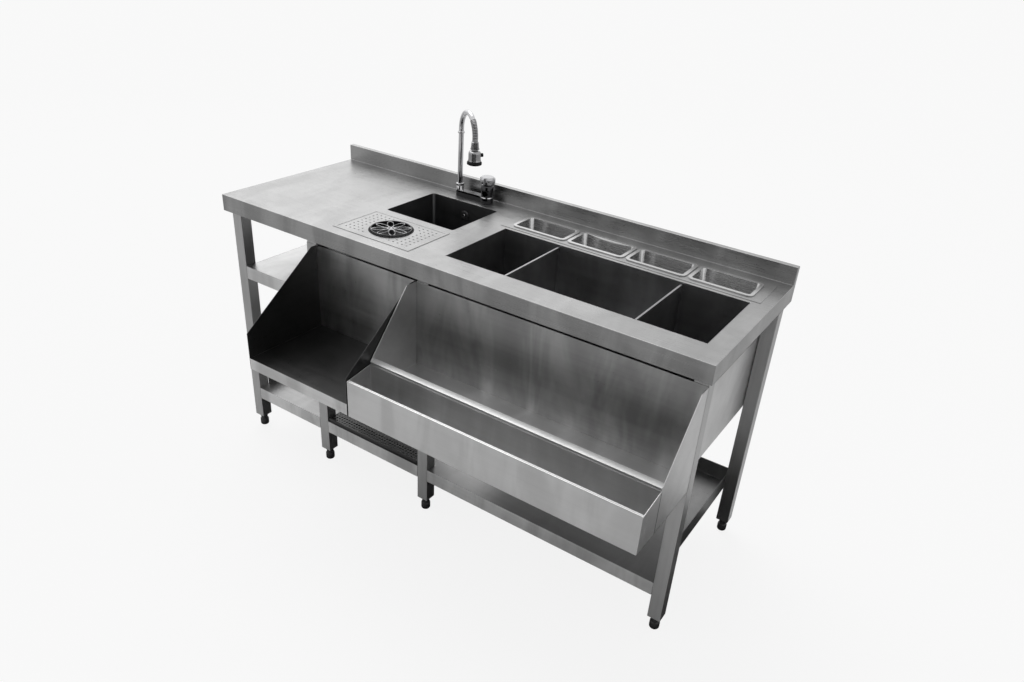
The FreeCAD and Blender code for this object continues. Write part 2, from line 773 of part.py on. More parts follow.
def fix_sweep(path, degrees):
    """Holds how far round the arch the path's arc goes."""
    sweep = Sketcher.Constraint("Angle", 0, math.radians(number(degrees)))
    index = path.addConstraint(sweep)
    bind(path, "Constraints[%d]" % index, "%s * 1 deg" % degrees)


def make_spout():
    """The swinging arch: an upright tube, a half turn, then a ribbed end piece."""
    spout = new_body("tap_spout")
    path, radius = path_of(spout, "flex_angle", "180", SPOUT_START, ARCH_START, "0")
    path.addConstraint(Sketcher.Constraint("Tangent", 0, 2, 1, 2))
    fix_point(path, 0, 3, radius, ARCH_START)
    fix_point(path, 1, 1, "0", SPOUT_START)
    fix_sweep(path, "(180 - flex_angle)")
    section = sketch_on(spout, "XY_Plane", SPOUT_START)
    circle(section, "0", "0", "spout_radius")
    tube = spout.newObject("PartDesign::AdditivePipe", "tube")
    tube.Profile = section
    tube.Spine = (path, ["Edge1", "Edge2"])
    turn_with_spout(spout)
    keep(spout, "tap_spout")

    flex = new_body("tap_flex")
    path, radius = path_of(flex, "0", "flex_angle", FLEX_END, ARCH_START, "spout_reach")
    path.addConstraint(Sketcher.Constraint("Tangent", 0, 1, 1, 2))
    fix_point(path, 0, 3, radius, ARCH_START)
    fix_point(path, 1, 1, "spout_reach", FLEX_END)
    fix_sweep(path, "flex_angle")
    section = sketch_on(flex, "XY_Plane", FLEX_END)
    circle(section, "spout_reach", "0", "spout_radius")
    tube = flex.newObject("PartDesign::AdditivePipe", "tube")
    tube.Profile = section
    tube.Spine = (path, ["Edge1", "Edge2"])
    pin = sketch_on(flex, "XY_Plane", FLEX_END)
    circle(pin, "spout_reach", "0", "head_pin_radius")
    pad(flex, pin, "head_pin_length", True)
    turn_with_spout(flex)
    keep(flex, "tap_flex")

    for label, low, height, wide in (
            ("tap_spout_nut", "(%s + socket_height + seat_gap)" % BODY_TOP, "nut_height", "nut_radius"),
            ("tap_collar", COLLAR_BOTTOM, "collar_width", "collar_radius")):
        collar = new_body(label)
        ring = sketch_on(collar, "XY_Plane", low)
        circle(ring, "0", "0", wide)
        circle(ring, "0", "0", "spout_radius + running_fit")
        pad(collar, ring, height)
        turn_with_spout(collar)
        keep(collar, label)


def turned_on_spout(label, points, low):
    """A turned piece on the upright axis under the arch's outer end."""
    body = turned_body(label, points)
    stand_under_arch(body, low)
    return body


def stand_under_arch(body, low):
    turn = FreeCAD.Rotation(FreeCAD.Vector(0, 0, -1), 1)
    body.Placement = FreeCAD.Placement(FreeCAD.Vector(), turn)
    bind(body, "Placement.Rotation.Angle", "spout_turn * 1 deg")
    place(body, "(tap_x + spout_reach * cos(spout_turn * 1 deg))",
          "(%s - spout_reach * sin(spout_turn * 1 deg))" % TAP_Y, low)


def make_spray_head():
    head_top = "%s - seat_gap" % FLEX_END
    pin_hole = "head_pin_radius + running_fit"
    head = turned_on_spout("tap_head", [
        (pin_hole, "0"),
        ("head_neck_radius", "0"),
        ("head_neck_radius", "-head_neck_height"),
        ("head_shoulder_radius", "-head_shoulder"),
        ("head_radius", "-2 * head_shoulder"),
        ("head_radius", "-head_height + head_flare_height"),
        ("head_foot_radius", "-head_height"),
        ("0", "-head_height"),
        ("0", "-head_pin_length - 2 * seat_gap"),
        (pin_hole, "-head_pin_length - 2 * seat_gap")], head_top)
    bore_sketch = sketch_on(head, "XZ_Plane", "-head_foot_radius - button_stand_out")
    circle(bore_sketch, "0", "-button_drop", "button_radius + running_fit")
    pocket(head, bore_sketch, "button_stand_out + head_foot_radius - head_radius + button_bore", True)
    keep(head, "tap_head")

    rim = turned_on_spout("tap_head_rim", [
        ("0", "0"),
        ("head_foot_radius", "0"),
        ("head_rim_radius", "-rim_slope"),
        ("head_rim_radius", "rim_slope / 2 - head_rim_height"),
        ("head_rim_radius - rim_slope", "-head_rim_height"),
        ("head_rim_radius - rim_slope - 1", "rim_recess - head_rim_height"),
        ("0", "rim_recess - head_rim_height")], "%s - seat_gap - head_height" % FLEX_END)
    keep(rim, "tap_head_rim")

    button = new_body("tap_button")
    face = sketch_on(button, "XZ_Plane", "-head_radius - button_stand_out")
    circle(face, "0", "0", "button_radius")
    pad(button, face, "button_stand_out + button_bore - button_travel - seat_gap")
    stand_under_arch(button, "%s - seat_gap - button_drop" % FLEX_END)
    keep(button, "tap_button")


# ---- ice bin, wells and casing -----------------------------------------------

def make_ice_bin():
    left, right = "(ice_left - sheet)", "(%s + sheet)" % ICE_RIGHT
    front, back = "(ice_front - sheet)", "(%s + sheet)" % ICE_BACK
    floor = block(left, right, front, back, "(%s - sheet)" % ICE_FLOOR, ICE_FLOOR)
    hole = rod(DRAIN_X, ICE_Y, "(%s - 3 * sheet)" % ICE_FLOOR, "deck_height", "drain_radius + seat_gap")
    keep(cut(floor, [hole]), "ice_floor")
    keep(block(left, right, front, "ice_front", ICE_FLOOR, UNDER_DECK), "ice_front_wall")
    keep(block(left, right, ICE_BACK, back, ICE_FLOOR, UNDER_DECK), "ice_back_wall")
    keep(block(left, "ice_left", "ice_front", ICE_BACK, ICE_FLOOR, UNDER_DECK), "ice_left_wall")
    keep(block(ICE_RIGHT, right, "ice_front", ICE_BACK, ICE_FLOOR, UNDER_DECK), "ice_right_wall")

    hem_low = "(deck_height - hem_drop)"
    for label, middle in (("divider_left", DIVIDER_LEFT), ("divider_right", DIVIDER_RIGHT)):
        panel = block("(%s - sheet / 2)" % middle, "(%s + sheet / 2)" % middle,
                      "(ice_front + drop_in_gap)", "(%s - drop_in_gap)" % ICE_BACK,
                      "(%s + seat_gap)" % ICE_FLOOR, hem_low)
        hem = block("(%s - hem_width / 2)" % middle, "(%s + hem_width / 2)" % middle,
                    "(ice_front + fit_gap)", "(%s - fit_gap)" % ICE_BACK,
                    hem_low, "(%s + hem_height)" % hem_low)
        keep(join([panel, hem]), label)

    rack = new_body("false_bottom")
    rack_x = ("(%s + rack_clearance)" % DIVIDER_LEFT, "(%s - rack_clearance)" % DIVIDER_RIGHT)
    rack_y = ("(ice_front + rack_clearance)", "(%s - rack_clearance)" % ICE_BACK)
    top = sketch_on(rack, "XY_Plane", "%s + seat_gap" % ICE_FLOOR)
    rectangle(top, rack_x[0], rack_x[1], rack_y[0], rack_y[1])
    pad(rack, top, "false_bottom_height")
    under = sketch_on(rack, "XY_Plane", "%s + seat_gap" % ICE_FLOOR)
    rectangle(under, "%s + sheet" % rack_x[0], "%s - sheet" % rack_x[1],
              "%s + sheet" % rack_y[0], "%s - sheet" % rack_y[1])
    pocket(rack, under, "false_bottom_height - sheet", True)
    holes = sketch_on(rack, "XY_Plane", "%s + seat_gap + false_bottom_height" % ICE_FLOOR)
    circle(holes, "%s + rack_margin_x" % rack_x[0], "%s + rack_margin_y" % rack_y[0], "rack_hole_radius")
    drilled = pocket(rack, holes, "2 * sheet")
    columns = "(floor((%s - %s - 2 * rack_margin_x) / rack_hole_pitch_x) + 1)" % (rack_x[1], rack_x[0])
    rows = "(floor((%s - %s - 2 * rack_margin_y) / rack_hole_pitch_y) + 1)" % (rack_y[1], rack_y[0])
    grid_of(rack, drilled, holes, "rack_hole_pitch_x", columns, "rack_hole_pitch_y", rows)
    place(rack)
    keep(rack, "false_bottom")

    bore = "(drain_tail_radius - drain_wall)"
    shoulder = "%s - fit_gap - %s" % (CASING_BOTTOM, ICE_FLOOR)
    revolve("bin_drain", [
        (bore, "%s - drain_tail_length" % shoulder),
        ("drain_tail_radius", "%s - drain_tail_length" % shoulder),
        ("drain_tail_radius", shoulder),
        ("drain_radius", shoulder),
        ("drain_radius", "0"),
        ("drain_flange_radius", "0"),
        ("drain_flange_radius - drain_flange_height", "drain_flange_height"),
        (bore, "drain_flange_height")], DRAIN_X, ICE_Y, ICE_FLOOR)

    outer = block(CASING_LEFT, CASING_RIGHT, "casing_front", CASING_BACK, CASING_BOTTOM, UNDER_DECK)
    hollow = block("(%s + sheet)" % CASING_LEFT, "(%s - sheet)" % CASING_RIGHT, "(casing_front + sheet)",
                   "(%s - sheet)" % CASING_BACK, "(%s + sheet)" % CASING_BOTTOM, "deck_height")
    hole = rod(DRAIN_X, ICE_Y, "(%s - sheet)" % CASING_BOTTOM, "(%s + 3 * sheet)" % CASING_BOTTOM,
               "drain_radius + drop_in_gap")
    keep(cut(outer, [hollow, hole]), "bin_casing")


# ---- garnish rail ------------------------------------------------------------

def pan_place(index):
    return "(%s + %s * %s)" % (FRAME_X, index - 1.5, PAN_PITCH)


def make_garnish_rail():
    """A drop-in frame with four pans that lift out."""
    plate = block("frame_left", FRAME_RIGHT, FRAME_FRONT, FRAME_BACK, "deck_height", FRAME_TOP)
    edge_x = ("(frame_left + frame_overhang_x + drop_in_gap)",
              "(%s - frame_overhang_x - drop_in_gap)" % FRAME_RIGHT)
    edge_y = ("(%s + frame_overhang_y + drop_in_gap)" % FRAME_FRONT,
              "(%s - frame_overhang_y - drop_in_gap)" % FRAME_BACK)
    skirt = block(edge_x[0], edge_x[1], edge_y[0], edge_y[1], "(deck_height - frame_skirt)", "deck_height")
    hollow = block("(%s + sheet)" % edge_x[0], "(%s - sheet)" % edge_x[1], "(%s + sheet)" % edge_y[0],
                   "(%s - sheet)" % edge_y[1], "(deck_height - 2 * frame_skirt)", "deck_height")
    half_x = "(%s / 2 - pan_flange)" % PAN_WIDTH
    half_y = "(pan_length / 2 - pan_flange)"
    holes = [block("(%s - %s)" % (pan_place(i), half_x), "(%s + %s)" % (pan_place(i), half_x),
                   "(%s - %s)" % (FRAME_Y, half_y), "(%s + %s)" % (FRAME_Y, half_y),
                   "(deck_height - 1)", "(%s + 1)" % FRAME_TOP) for i in range(4)]
    keep(cut(cut(join([plate, skirt]), [hollow]), holes), "garnish_frame")
    for i in range(4):
        make_pan(i)


def make_pan(index):
    """A drawn pan: tapered walls, round corners and a flat rim that rests on the frame."""
    body = new_body("pan")
    top = "pan_rim"
    inset = "(pan_flange + 1)"
    outer_top = sketch_on(body, "XY_Plane", top)
    outline(outer_top, inset, "pan_corner - pan_flange")
    outer_low = sketch_on(body, "XY_Plane", "pan_rim - pan_depth")
    outline(outer_low, "(%s + pan_taper)" % inset, "pan_corner - pan_flange")
    shell = body.newObject("PartDesign::AdditiveLoft", "outside")
    shell.Profile = outer_top
    shell.Sections = [outer_low]
    rim = sketch_on(body, "XY_Plane", "0")
    outline(rim, "0", "pan_corner")
    pad(body, rim, "pan_rim")
    inner_top = sketch_on(body, "XY_Plane", top)
    outline(inner_top, "(%s + sheet)" % inset, "pan_corner - pan_flange - sheet")
    inner_low = sketch_on(body, "XY_Plane", "pan_rim - pan_depth + sheet")
    outline(inner_low, "(%s + sheet + pan_taper)" % inset, "pan_corner - pan_flange - sheet")
    hollow = body.newObject("PartDesign::SubtractiveLoft", "inside")
    hollow.Profile = inner_top
    hollow.Sections = [inner_low]
    place(body, pan_place(index), FRAME_Y, "%s + seat_gap" % FRAME_TOP)
    keep(body, "garnish_pan_%d" % (index + 1))


def outline(sketch, inset, corner):
    rounded(sketch, "-(%s / 2 - %s)" % (PAN_WIDTH, inset), "%s / 2 - %s" % (PAN_WIDTH, inset),
            "-(pan_length / 2 - %s)" % inset, "pan_length / 2 - %s" % inset, corner)


# ---- legs, feet and shelves --------------------------------------------------

LEG_PLACES = [
    ("front_1", "leg_end_inset", "leg_front_inset"),
    ("front_2", "second_leg", "leg_front_inset"),
    ("front_3", "third_leg", "leg_front_inset"),
    ("front_4", LEG_RIGHT, "leg_front_inset"),
    ("back_1", "leg_end_inset", LEG_BACK),
    ("back_2", "second_leg", LEG_BACK),
    ("back_3", "third_leg", LEG_BACK),
    ("back_4", LEG_RIGHT, LEG_BACK)]


def make_legs():
    """Square tubes, each with a plug in its end that takes the foot's stem."""
    for name, x, y in LEG_PLACES:
        middle_x = "(%s + leg_size / 2)" % x
        middle_y = "(%s + leg_size / 2)" % y
        outer = block(x, "(%s + leg_size)" % x, y, "(%s + leg_size)" % y, "foot_height", UNDER_DECK)
        hollow = block("(%s + leg_wall)" % x, "(%s + leg_size - leg_wall)" % x, "(%s + leg_wall)" % y,
                       "(%s + leg_size - leg_wall)" % y, "(foot_height + plug_height)", "deck_height")
        bore = rod(middle_x, middle_y, "(foot_height - 1)", "(foot_height + plug_height + 1)",
                   "stem_radius + running_fit")
        keep(cut(outer, [hollow, bore]), "leg_" + name)
        revolve("foot_" + name, [
            ("0", "0"),
            ("foot_radius", "0"),
            ("foot_radius", "foot_pad_height"),
            ("foot_neck_radius", "foot_cone_height"),
            ("foot_neck_radius", "foot_height - seat_gap"),
            ("stem_radius", "foot_height - seat_gap"),
            ("stem_radius", "foot_height - seat_gap + stem_length"),
            ("0", "foot_height - seat_gap + stem_length")], middle_x, middle_y, "0")


def leg_notches(low, high):
    """Blocks that clear the four inner legs out of a shelf."""
    return [block(x, "(%s + leg_size)" % x, "(%s - 1)" % y, "(%s + leg_size + 1)" % y, low, high)
            for name, x, y in LEG_PLACES if x in ("second_leg", "third_leg")]


def make_shelves():
    """The long bottom shelf and the short glass shelf in the left bay."""
    back_in = "(%s - sheet)" % SHELF_BACK
    floor = block(SHELF_LEFT, LEG_RIGHT, "leg_front_inset", SHELF_BACK,
                  "(shelf_height - sheet)", "shelf_height")
    lip = block(SHELF_LEFT, LEG_RIGHT, "leg_front_inset", "(leg_front_inset + sheet)",
                "(shelf_height - shelf_lip)", "shelf_height")
    rim_top = "(shelf_height + shelf_upstand)"
    back = block(SHELF_LEFT, LEG_RIGHT, back_in, SHELF_BACK, "shelf_height", rim_top)
    side_y = ("(leg_front_inset + leg_size)", LEG_BACK)
    left = block(SHELF_LEFT, "(%s + sheet)" % SHELF_LEFT, side_y[0], side_y[1], "shelf_height", rim_top)
    right = block("(%s - sheet)" % LEG_RIGHT, LEG_RIGHT, side_y[0], side_y[1], "shelf_height", rim_top)
    notches = leg_notches("(shelf_height - 2 * shelf_lip)", "(%s + 1)" % rim_top)
    keep(cut(join([floor, lip, back, left, right]), notches), "lower_shelf")

    profile("mid_shelf", [
        ("leg_front_inset", "mid_shelf_height - shelf_lip"),
        ("leg_front_inset", "mid_shelf_height"),
        (SHELF_BACK, "mid_shelf_height"),
        (SHELF_BACK, "mid_shelf_height - sheet"),
        ("leg_front_inset + sheet", "mid_shelf_height - sheet"),
        ("leg_front_inset + sheet", "mid_shelf_height - shelf_lip")], SHELF_LEFT, "second_leg")

    grid = new_body("drainer_grid")
    grid_x = ("(second_leg + leg_size + 4)", "(third_leg - 4)")
    grid_y = ("(leg_front_inset + leg_size + 4)", "(%s - 4)" % LEG_BACK)
    top = sketch_on(grid, "XY_Plane", "shelf_height")
    rectangle(top, grid_x[0], grid_x[1], grid_y[0], grid_y[1])
    pad(grid, top, "grid_height")
    under = sketch_on(grid, "XY_Plane", "shelf_height")
    rectangle(under, "%s + sheet" % grid_x[0], "%s - sheet" % grid_x[1],
              "%s + sheet" % grid_y[0], "%s - sheet" % grid_y[1])
    pocket(grid, under, "grid_height - sheet", True)
    holes = sketch_on(grid, "XY_Plane", "shelf_height + grid_height")
    start_x = "(%s + grid_margin)" % grid_x[0]
    start_y = "(%s + grid_margin)" % grid_y[0]
    rectangle(holes, start_x, "%s + grid_hole" % start_x, start_y, "%s + grid_hole" % start_y)
    punched = pocket(grid, holes, "2 * sheet")
    step_x = "((%s - %s - 2 * grid_margin - grid_hole) / (grid_columns - 1))" % (grid_x[1], grid_x[0])
    step_y = "((%s - %s - 2 * grid_margin - grid_hole) / (grid_rows - 1))" % (grid_y[1], grid_y[0])
    grid_of(grid, punched, holes, step_x, "grid_columns", step_y, "grid_rows")
    place(grid)
    keep(grid, "drainer_grid")


# ---- front unit --------------------------------------------------------------

def make_front_unit():
    keep(block("second_leg", RAIL_RIGHT, UNIT_BACK, "leg_front_inset", UNIT_BOTTOM, UNIT_TOP),
         "unit_back")
    front = "-rail_reach"
    front_in = "-rail_reach + sheet"
    bay_top = "%s + bay_lip" % UNIT_BOTTOM
    profile("machine_shelf", [
        (front, UNIT_BOTTOM),
        (front, bay_top),
        (UNIT_BACK, bay_top),
        (UNIT_BACK, bay_top + " - sheet"),
        (front_in, bay_top + " - sheet"),
        (front_in, "%s + sheet" % UNIT_BOTTOM),
        (front_in + " + bay_return", "%s + sheet" % UNIT_BOTTOM),
        (front_in + " + bay_return", UNIT_BOTTOM)],
        "(bay_left + sheet)", "(%s - sheet)" % BAY_RIGHT)
    for label, x0, x1 in (("bay_wall_left", "bay_left", "(bay_left + sheet)"),
                          ("bay_wall_right", "(%s - sheet)" % BAY_RIGHT, BAY_RIGHT)):
        profile(label, [
            (front, UNIT_BOTTOM),
            (front, "%s + bay_wall_front" % UNIT_BOTTOM),
            ("%s - bay_wall_top" % UNIT_BACK, UNIT_TOP),
            (UNIT_BACK, UNIT_TOP),
            (UNIT_BACK, UNIT_BOTTOM)], x0, x1)

    tier = new_body("rail_front")
    outside = sketch_on(tier, "YZ_Plane", RAIL_LEFT)
    polygon(outside, [
        (front, UNIT_BOTTOM),
        (front, "%s + front_rail_height" % UNIT_BOTTOM),
        (TIER_SEAM, "%s + front_rail_height + tier_rise" % UNIT_BOTTOM),
        (TIER_SEAM, UNIT_BOTTOM)])
    pad(tier, outside, "%s - %s" % (RAIL_RIGHT, RAIL_LEFT))
    inside = sketch_on(tier, "YZ_Plane", "%s + sheet" % RAIL_LEFT)
    polygon(inside, [
        (front_in, "%s + sheet" % UNIT_BOTTOM),
        (front_in, UNIT_TOP),
        ("%s - sheet" % TIER_SEAM, UNIT_TOP),
        ("%s - sheet" % TIER_SEAM, "%s + sheet" % UNIT_BOTTOM)])
    pocket(tier, inside, "%s - %s - 2 * sheet" % (RAIL_RIGHT, RAIL_LEFT), True)
    place(tier)
    keep(tier, "rail_front")

    tier = new_body("rail_rear")
    wall_top = "%s + rear_wall_height" % UNIT_BOTTOM
    outside = sketch_on(tier, "YZ_Plane", RAIL_LEFT)
    polygon(outside, [
        (TIER_SEAM, UNIT_BOTTOM),
        (TIER_SEAM, wall_top),
        ("%s - rear_end_top" % UNIT_BACK, UNIT_TOP),
        (UNIT_BACK, UNIT_TOP),
        (UNIT_BACK, UNIT_BOTTOM)])
    pad(tier, outside, "%s - %s" % (RAIL_RIGHT, RAIL_LEFT))
    seam_in = "%s + sheet" % TIER_SEAM
    above = sketch_on(tier, "YZ_Plane", "%s + sheet" % RAIL_LEFT)
    polygon(above, [
        (seam_in, "%s + rear_step" % UNIT_BOTTOM),
        (seam_in, wall_top + " - sheet"),
        ("%s + rear_flange" % TIER_SEAM, wall_top + " - sheet"),
        ("%s + rear_flange" % TIER_SEAM, wall_top),
        ("%s - 1" % TIER_SEAM, wall_top),
        ("%s - 1" % TIER_SEAM, "%s + 1" % UNIT_TOP),
        ("%s + 1" % UNIT_BACK, "%s + 1" % UNIT_TOP),
        ("%s + 1" % UNIT_BACK, "%s + rear_step" % UNIT_BOTTOM)])
    pocket(tier, above, "%s - %s - 2 * sheet" % (RAIL_RIGHT, RAIL_LEFT), True)
    below = sketch_on(tier, "YZ_Plane", "%s + sheet" % RAIL_LEFT)
    polygon(below, [
        (seam_in, "%s - 1" % UNIT_BOTTOM),
        (seam_in, "%s + rear_step - sheet" % UNIT_BOTTOM),
        ("%s + 1" % UNIT_BACK, "%s + rear_step - sheet" % UNIT_BOTTOM),
        ("%s + 1" % UNIT_BACK, "%s - 1" % UNIT_BOTTOM)])
    pocket(tier, below, "%s - %s - 2 * sheet" % (RAIL_RIGHT, RAIL_LEFT), True)
    place(tier)
    keep(tier, "rail_rear")


make_worktop()
make_sink()
make_rinser()
make_tap_body()
make_spout()
make_spray_head()
make_ice_bin()
make_garnish_rail()
make_legs()
make_shelves()
make_front_unit()

doc.removeObject(probe.Name)
doc.recompute()

problems = [item.Name + " " + " ".join(item.State) for item in doc.Objects
            if "Invalid" in item.State or "Error" in item.State]
problems += [item.Label + " has no valid solid" for item in pieces
             if item.Shape.isNull() or not item.Shape.isValid() or len(item.Shape.Solids) != 1]
if problems:
    raise RuntimeError("\n".join(problems))

os.makedirs("parts", exist_ok=True)
for item in pieces:
    item.Shape.exportStep("parts/%s.step" % item.Label)
print(len(pieces), "sub-parts written")
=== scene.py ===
"""Finishes and small parts for the steel cocktail station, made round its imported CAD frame."""

import math

import bmesh
import bpy
from bpy.props import FloatProperty, FloatVectorProperty, IntProperty, PointerProperty
from mathutils import Matrix, Vector


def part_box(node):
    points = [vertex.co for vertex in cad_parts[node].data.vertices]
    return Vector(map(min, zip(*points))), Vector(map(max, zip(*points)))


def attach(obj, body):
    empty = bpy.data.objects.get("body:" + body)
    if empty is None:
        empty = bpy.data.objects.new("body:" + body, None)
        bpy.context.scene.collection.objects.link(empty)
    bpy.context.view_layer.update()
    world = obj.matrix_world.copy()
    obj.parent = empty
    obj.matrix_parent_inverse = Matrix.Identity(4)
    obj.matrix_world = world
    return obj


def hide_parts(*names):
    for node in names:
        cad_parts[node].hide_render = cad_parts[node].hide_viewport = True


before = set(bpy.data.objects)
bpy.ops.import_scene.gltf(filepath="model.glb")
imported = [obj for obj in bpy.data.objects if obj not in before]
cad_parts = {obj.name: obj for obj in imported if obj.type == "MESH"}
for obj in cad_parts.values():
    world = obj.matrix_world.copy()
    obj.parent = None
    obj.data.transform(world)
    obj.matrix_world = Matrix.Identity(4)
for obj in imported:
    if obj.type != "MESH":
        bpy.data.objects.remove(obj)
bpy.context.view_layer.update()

bl_info = {
    "name": "Cocktail Station",
    "version": (1, 0, 0),
    "blender": (4, 5, 0),
    "location": "3D View > Sidebar > Station",
    "description": "Finishes and small parts for a steel cocktail station",
    "category": "Object",
}

UP = Vector((0, 0, 1))
# Height of the deck's underside: below it the aprons and the drip tray's inside are painted in shade.
DECK_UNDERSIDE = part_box("sink_bowl")[1].z

# How much the brushed grain is drawn together: least along the way the belt ran.
ALONG_X = (2.5, 420, 420)
ALONG_Y = (420, 2.5, 420)
ALONG_Z = (420, 420, 2.5)

# Heights above a node's underside: of the shelves' lips, and of the two rails' front walls. A shelf's
# top, over its lip, is painted darker as shade.
LIP_HEIGHT = {"lower_shelf": 0.045, "mid_shelf": 0.045, "machine_shelf": 0.037}
FRONT_WALL = 0.112
REAR_WALL = 0.134

# How far the flat strips along the rails stand over the tops of those walls.
STRIP = 0.0008

# Sockets of a Mix node that mixes colours.
MIX_FACTOR, MIX_FIRST, MIX_SECOND, MIX_RESULT = 0, 6, 7, 2


# ---- sizes and colours that a user may change ---------------------------------

def colour_property(name, description, default):
    return FloatVectorProperty(name=name, description=description, default=default,
                               subtype="COLOR", size=3, min=0, max=1)


def grey_property(name, description, level):
    return colour_property(name, description, (level, level, level))


def length_property(name, description, default):
    return FloatProperty(name=name, description=description, default=default, unit="LENGTH",
                         min=0, precision=4)


def share_property(name, description, default):
    return FloatProperty(name=name, description=description, default=default, subtype="FACTOR",
                         min=0, max=1)


class StationFinishes(bpy.types.PropertyGroup):
    """Colours and roughness of the station's metals and plastics."""
    deck: grey_property("Deck steel", "Colour of the worktop's top and upstand", 0.345)
    # The aprons are the deck's own steel, painted darker as shade.
    apron: grey_property("Apron steel", "Colour of the worktop's aprons", 0.29)
    sheet: grey_property("Shelf steel", "Colour of shelf lips and rails", 0.58)
    # Painted shade: the shelves' tops, and the machine bay's floor most of all, are painted darker than
    # their lips.
    shelf_top: grey_property("Shelf top", "Colour of the shelves' top faces", 0.20)
    bay_floor: grey_property("Bay floor", "Colour of the machine shelf's top", 0.07)
    # Painted light: the flat strip along the rear rail is painted lighter than the rail steel, as lit
    # from above, and the beads on both strips near white as a highlight.
    nosing: grey_property("Nosing", "Colour of the flat strips along the rails", 0.66)
    bead: grey_property("Bead", "Colour of the bright beads along the rails", 0.95)
    # The drainer is steel painted nearly black as the shade on the lower shelf.
    drainer: grey_property("Drainer", "Colour of the perforated drainer", 0.055)
    panel: grey_property("Panel steel", "Colour of the bottle rail's back panel", 0.38)
    # The cheeks are the station's steel painted nearly black as the shade inside the machine bay.
    cheek: grey_property("Cheek steel", "Colour of the machine bay's cheeks", 0.09)
    leg: grey_property("Leg steel", "Colour of the square tubes", 0.42)
    # The sink's inside and its overflow cap are steel painted nearly black as the shade in the bowl.
    bowl: colour_property("Bowl steel", "Colour inside the sink", (0.12, 0.12, 0.123))
    bin: colour_property("Bin steel", "Colour inside the ice bin", (0.30, 0.30, 0.305))
    # The drip tray's inside and the walls of the rinser plate's holes are painted nearly black as shade.
    painted_recess_shade: grey_property("Basin steel", "Colour inside the rinser's drip tray", 0.015)
    pan: grey_property("Pan steel", "Colour of the garnish pans and their frame", 0.55)
    chrome: colour_property("Chrome", "Colour of the polished tap", (0.58, 0.58, 0.59))
    knob: colour_property("Knob", "Colour of the tap's satin knob", (0.44, 0.44, 0.45))
    # The spray head, its neck and the rinser's star are chrome painted darker, as a darker reflection.
    spray: colour_property("Spray head", "Colour of the spray head and its neck", (0.30, 0.30, 0.305))
    # The valve, and the bar below it, are the tap's chrome painted nearly black as a dark reflection.
    painted_dark_reflection: colour_property("Painted dark reflection chrome", "Colour of the tap's valve and bar", (0.05, 0.05, 0.052))
    plastic: colour_property("Black plastic", "Colour of the rinser, rim and button",
                             (0.012, 0.012, 0.013))
    rubber: colour_property("Foot rubber", "Colour of the levelling feet", (0.025, 0.025, 0.026))
    brushed_roughness: share_property("Brushed roughness", "Mean roughness of brushed steel", 0.30)
    chrome_roughness: share_property("Chrome roughness", "Mean roughness of the polished tap", 0.07)


class StationEdges(bpy.types.PropertyGroup):
    """Outer radii of folds and tube corners."""
    fold: length_property("Sheet fold", "Outer radius of a fold in the sheet", 0.0016)
    tube: length_property("Tube corner", "Outer radius of a leg's corners", 0.0028)
    trim: length_property("Trim edge", "Radius on edges of small metal parts", 0.0007)


class StationTap(bpy.types.PropertyGroup):
    """Sizes of the tap's small parts."""
    bead: length_property("Bead", "Thickness of one bead of the neck", 0.0046)
    neck: length_property("Neck radius", "Radius of the neck to the middle of its beads", 0.0074)
    ferrule: length_property("Ferrule radius", "Radius of the ribbed ferrule", 0.0118)
    ferrule_height: length_property("Ferrule height", "Height of the ribbed ferrule", 0.024)
    flats: IntProperty(name="Head flats", description="Flats round the spray head", default=18, min=6)
    nut_points: IntProperty(name="Nut points", description="Points on the star-shaped lock nut",
                            default=8, min=4)


class StationRinser(bpy.types.PropertyGroup):
    """Sizes of the rinser's star."""
    petals: IntProperty(name="Petals", description="Looped arms round the nozzle", default=8, min=3)
    wire: length_property("Arm thickness", "Thickness of the star's arms", 0.0020)
    rim: length_property("Rim thickness", "Thickness of the star's outer ring", 0.0045)
    petal_width: length_property("Petal width", "Width of one looped arm", 0.019)


class StationDrainer(bpy.types.PropertyGroup):
    """Sizes of the drainer's holes."""
    pitch: length_property("Hole pitch", "Distance from one hole to the next", 0.0115)
    hole: length_property("Hole", "Diameter of one hole", 0.0076)


class StationStage(bpy.types.PropertyGroup):
    """Floor, lamps and camera."""
    floor: grey_property("Floor", "Colour of the floor", 0.84)
    softbox: FloatProperty(name="Softbox", description="Power of the softbox behind on the left",
                           default=12, unit="POWER", min=0)
    overhead: FloatProperty(name="Overhead", description="Strength of the wide light from above",
                            default=1.0, min=0)
    camera_place: FloatVectorProperty(name="Camera place", description="Where the camera stands",
                                      default=(1.30549, -1.74313, 1.77965), subtype="TRANSLATION")
    camera_turn: FloatVectorProperty(name="Camera turn",
                                     description="Camera's compass angle, tilt down and roll",
                                     default=(0.544469, 0.515453, 0.0789069), subtype="EULER")
    lens: FloatProperty(name="Lens", description="Focal length in millimetres", default=28.083, min=1)


# ---- shader groups -------------------------------------------------------------

def new_group(name, inputs, outputs):
    """An empty shader group with its inputs, as (name, kind, default), and its outputs."""
    tree = bpy.data.node_groups.new(name, "ShaderNodeTree")
    for title, kind, default in inputs:
        socket = tree.interface.new_socket(title, in_out="INPUT", socket_type=kind)
        socket.default_value = default
    for title, kind in outputs:
        tree.interface.new_socket(title, in_out="OUTPUT", socket_type=kind)
    return tree, tree.nodes.new("NodeGroupInput"), tree.nodes.new("NodeGroupOutput")


def noise_on(tree, vector, scale, detail, distortion=0.0):
    """Noise over a vector, from 0 to 1."""
    noise = tree.nodes.new("ShaderNodeTexNoise")
    noise.inputs["Scale"].default_value = scale
    noise.inputs["Detail"].default_value = detail
    noise.inputs["Roughness"].default_value = 0.6
    noise.inputs["Distortion"].default_value = distortion
    tree.links.new(vector, noise.inputs["Vector"])
    return noise.outputs["Fac"]


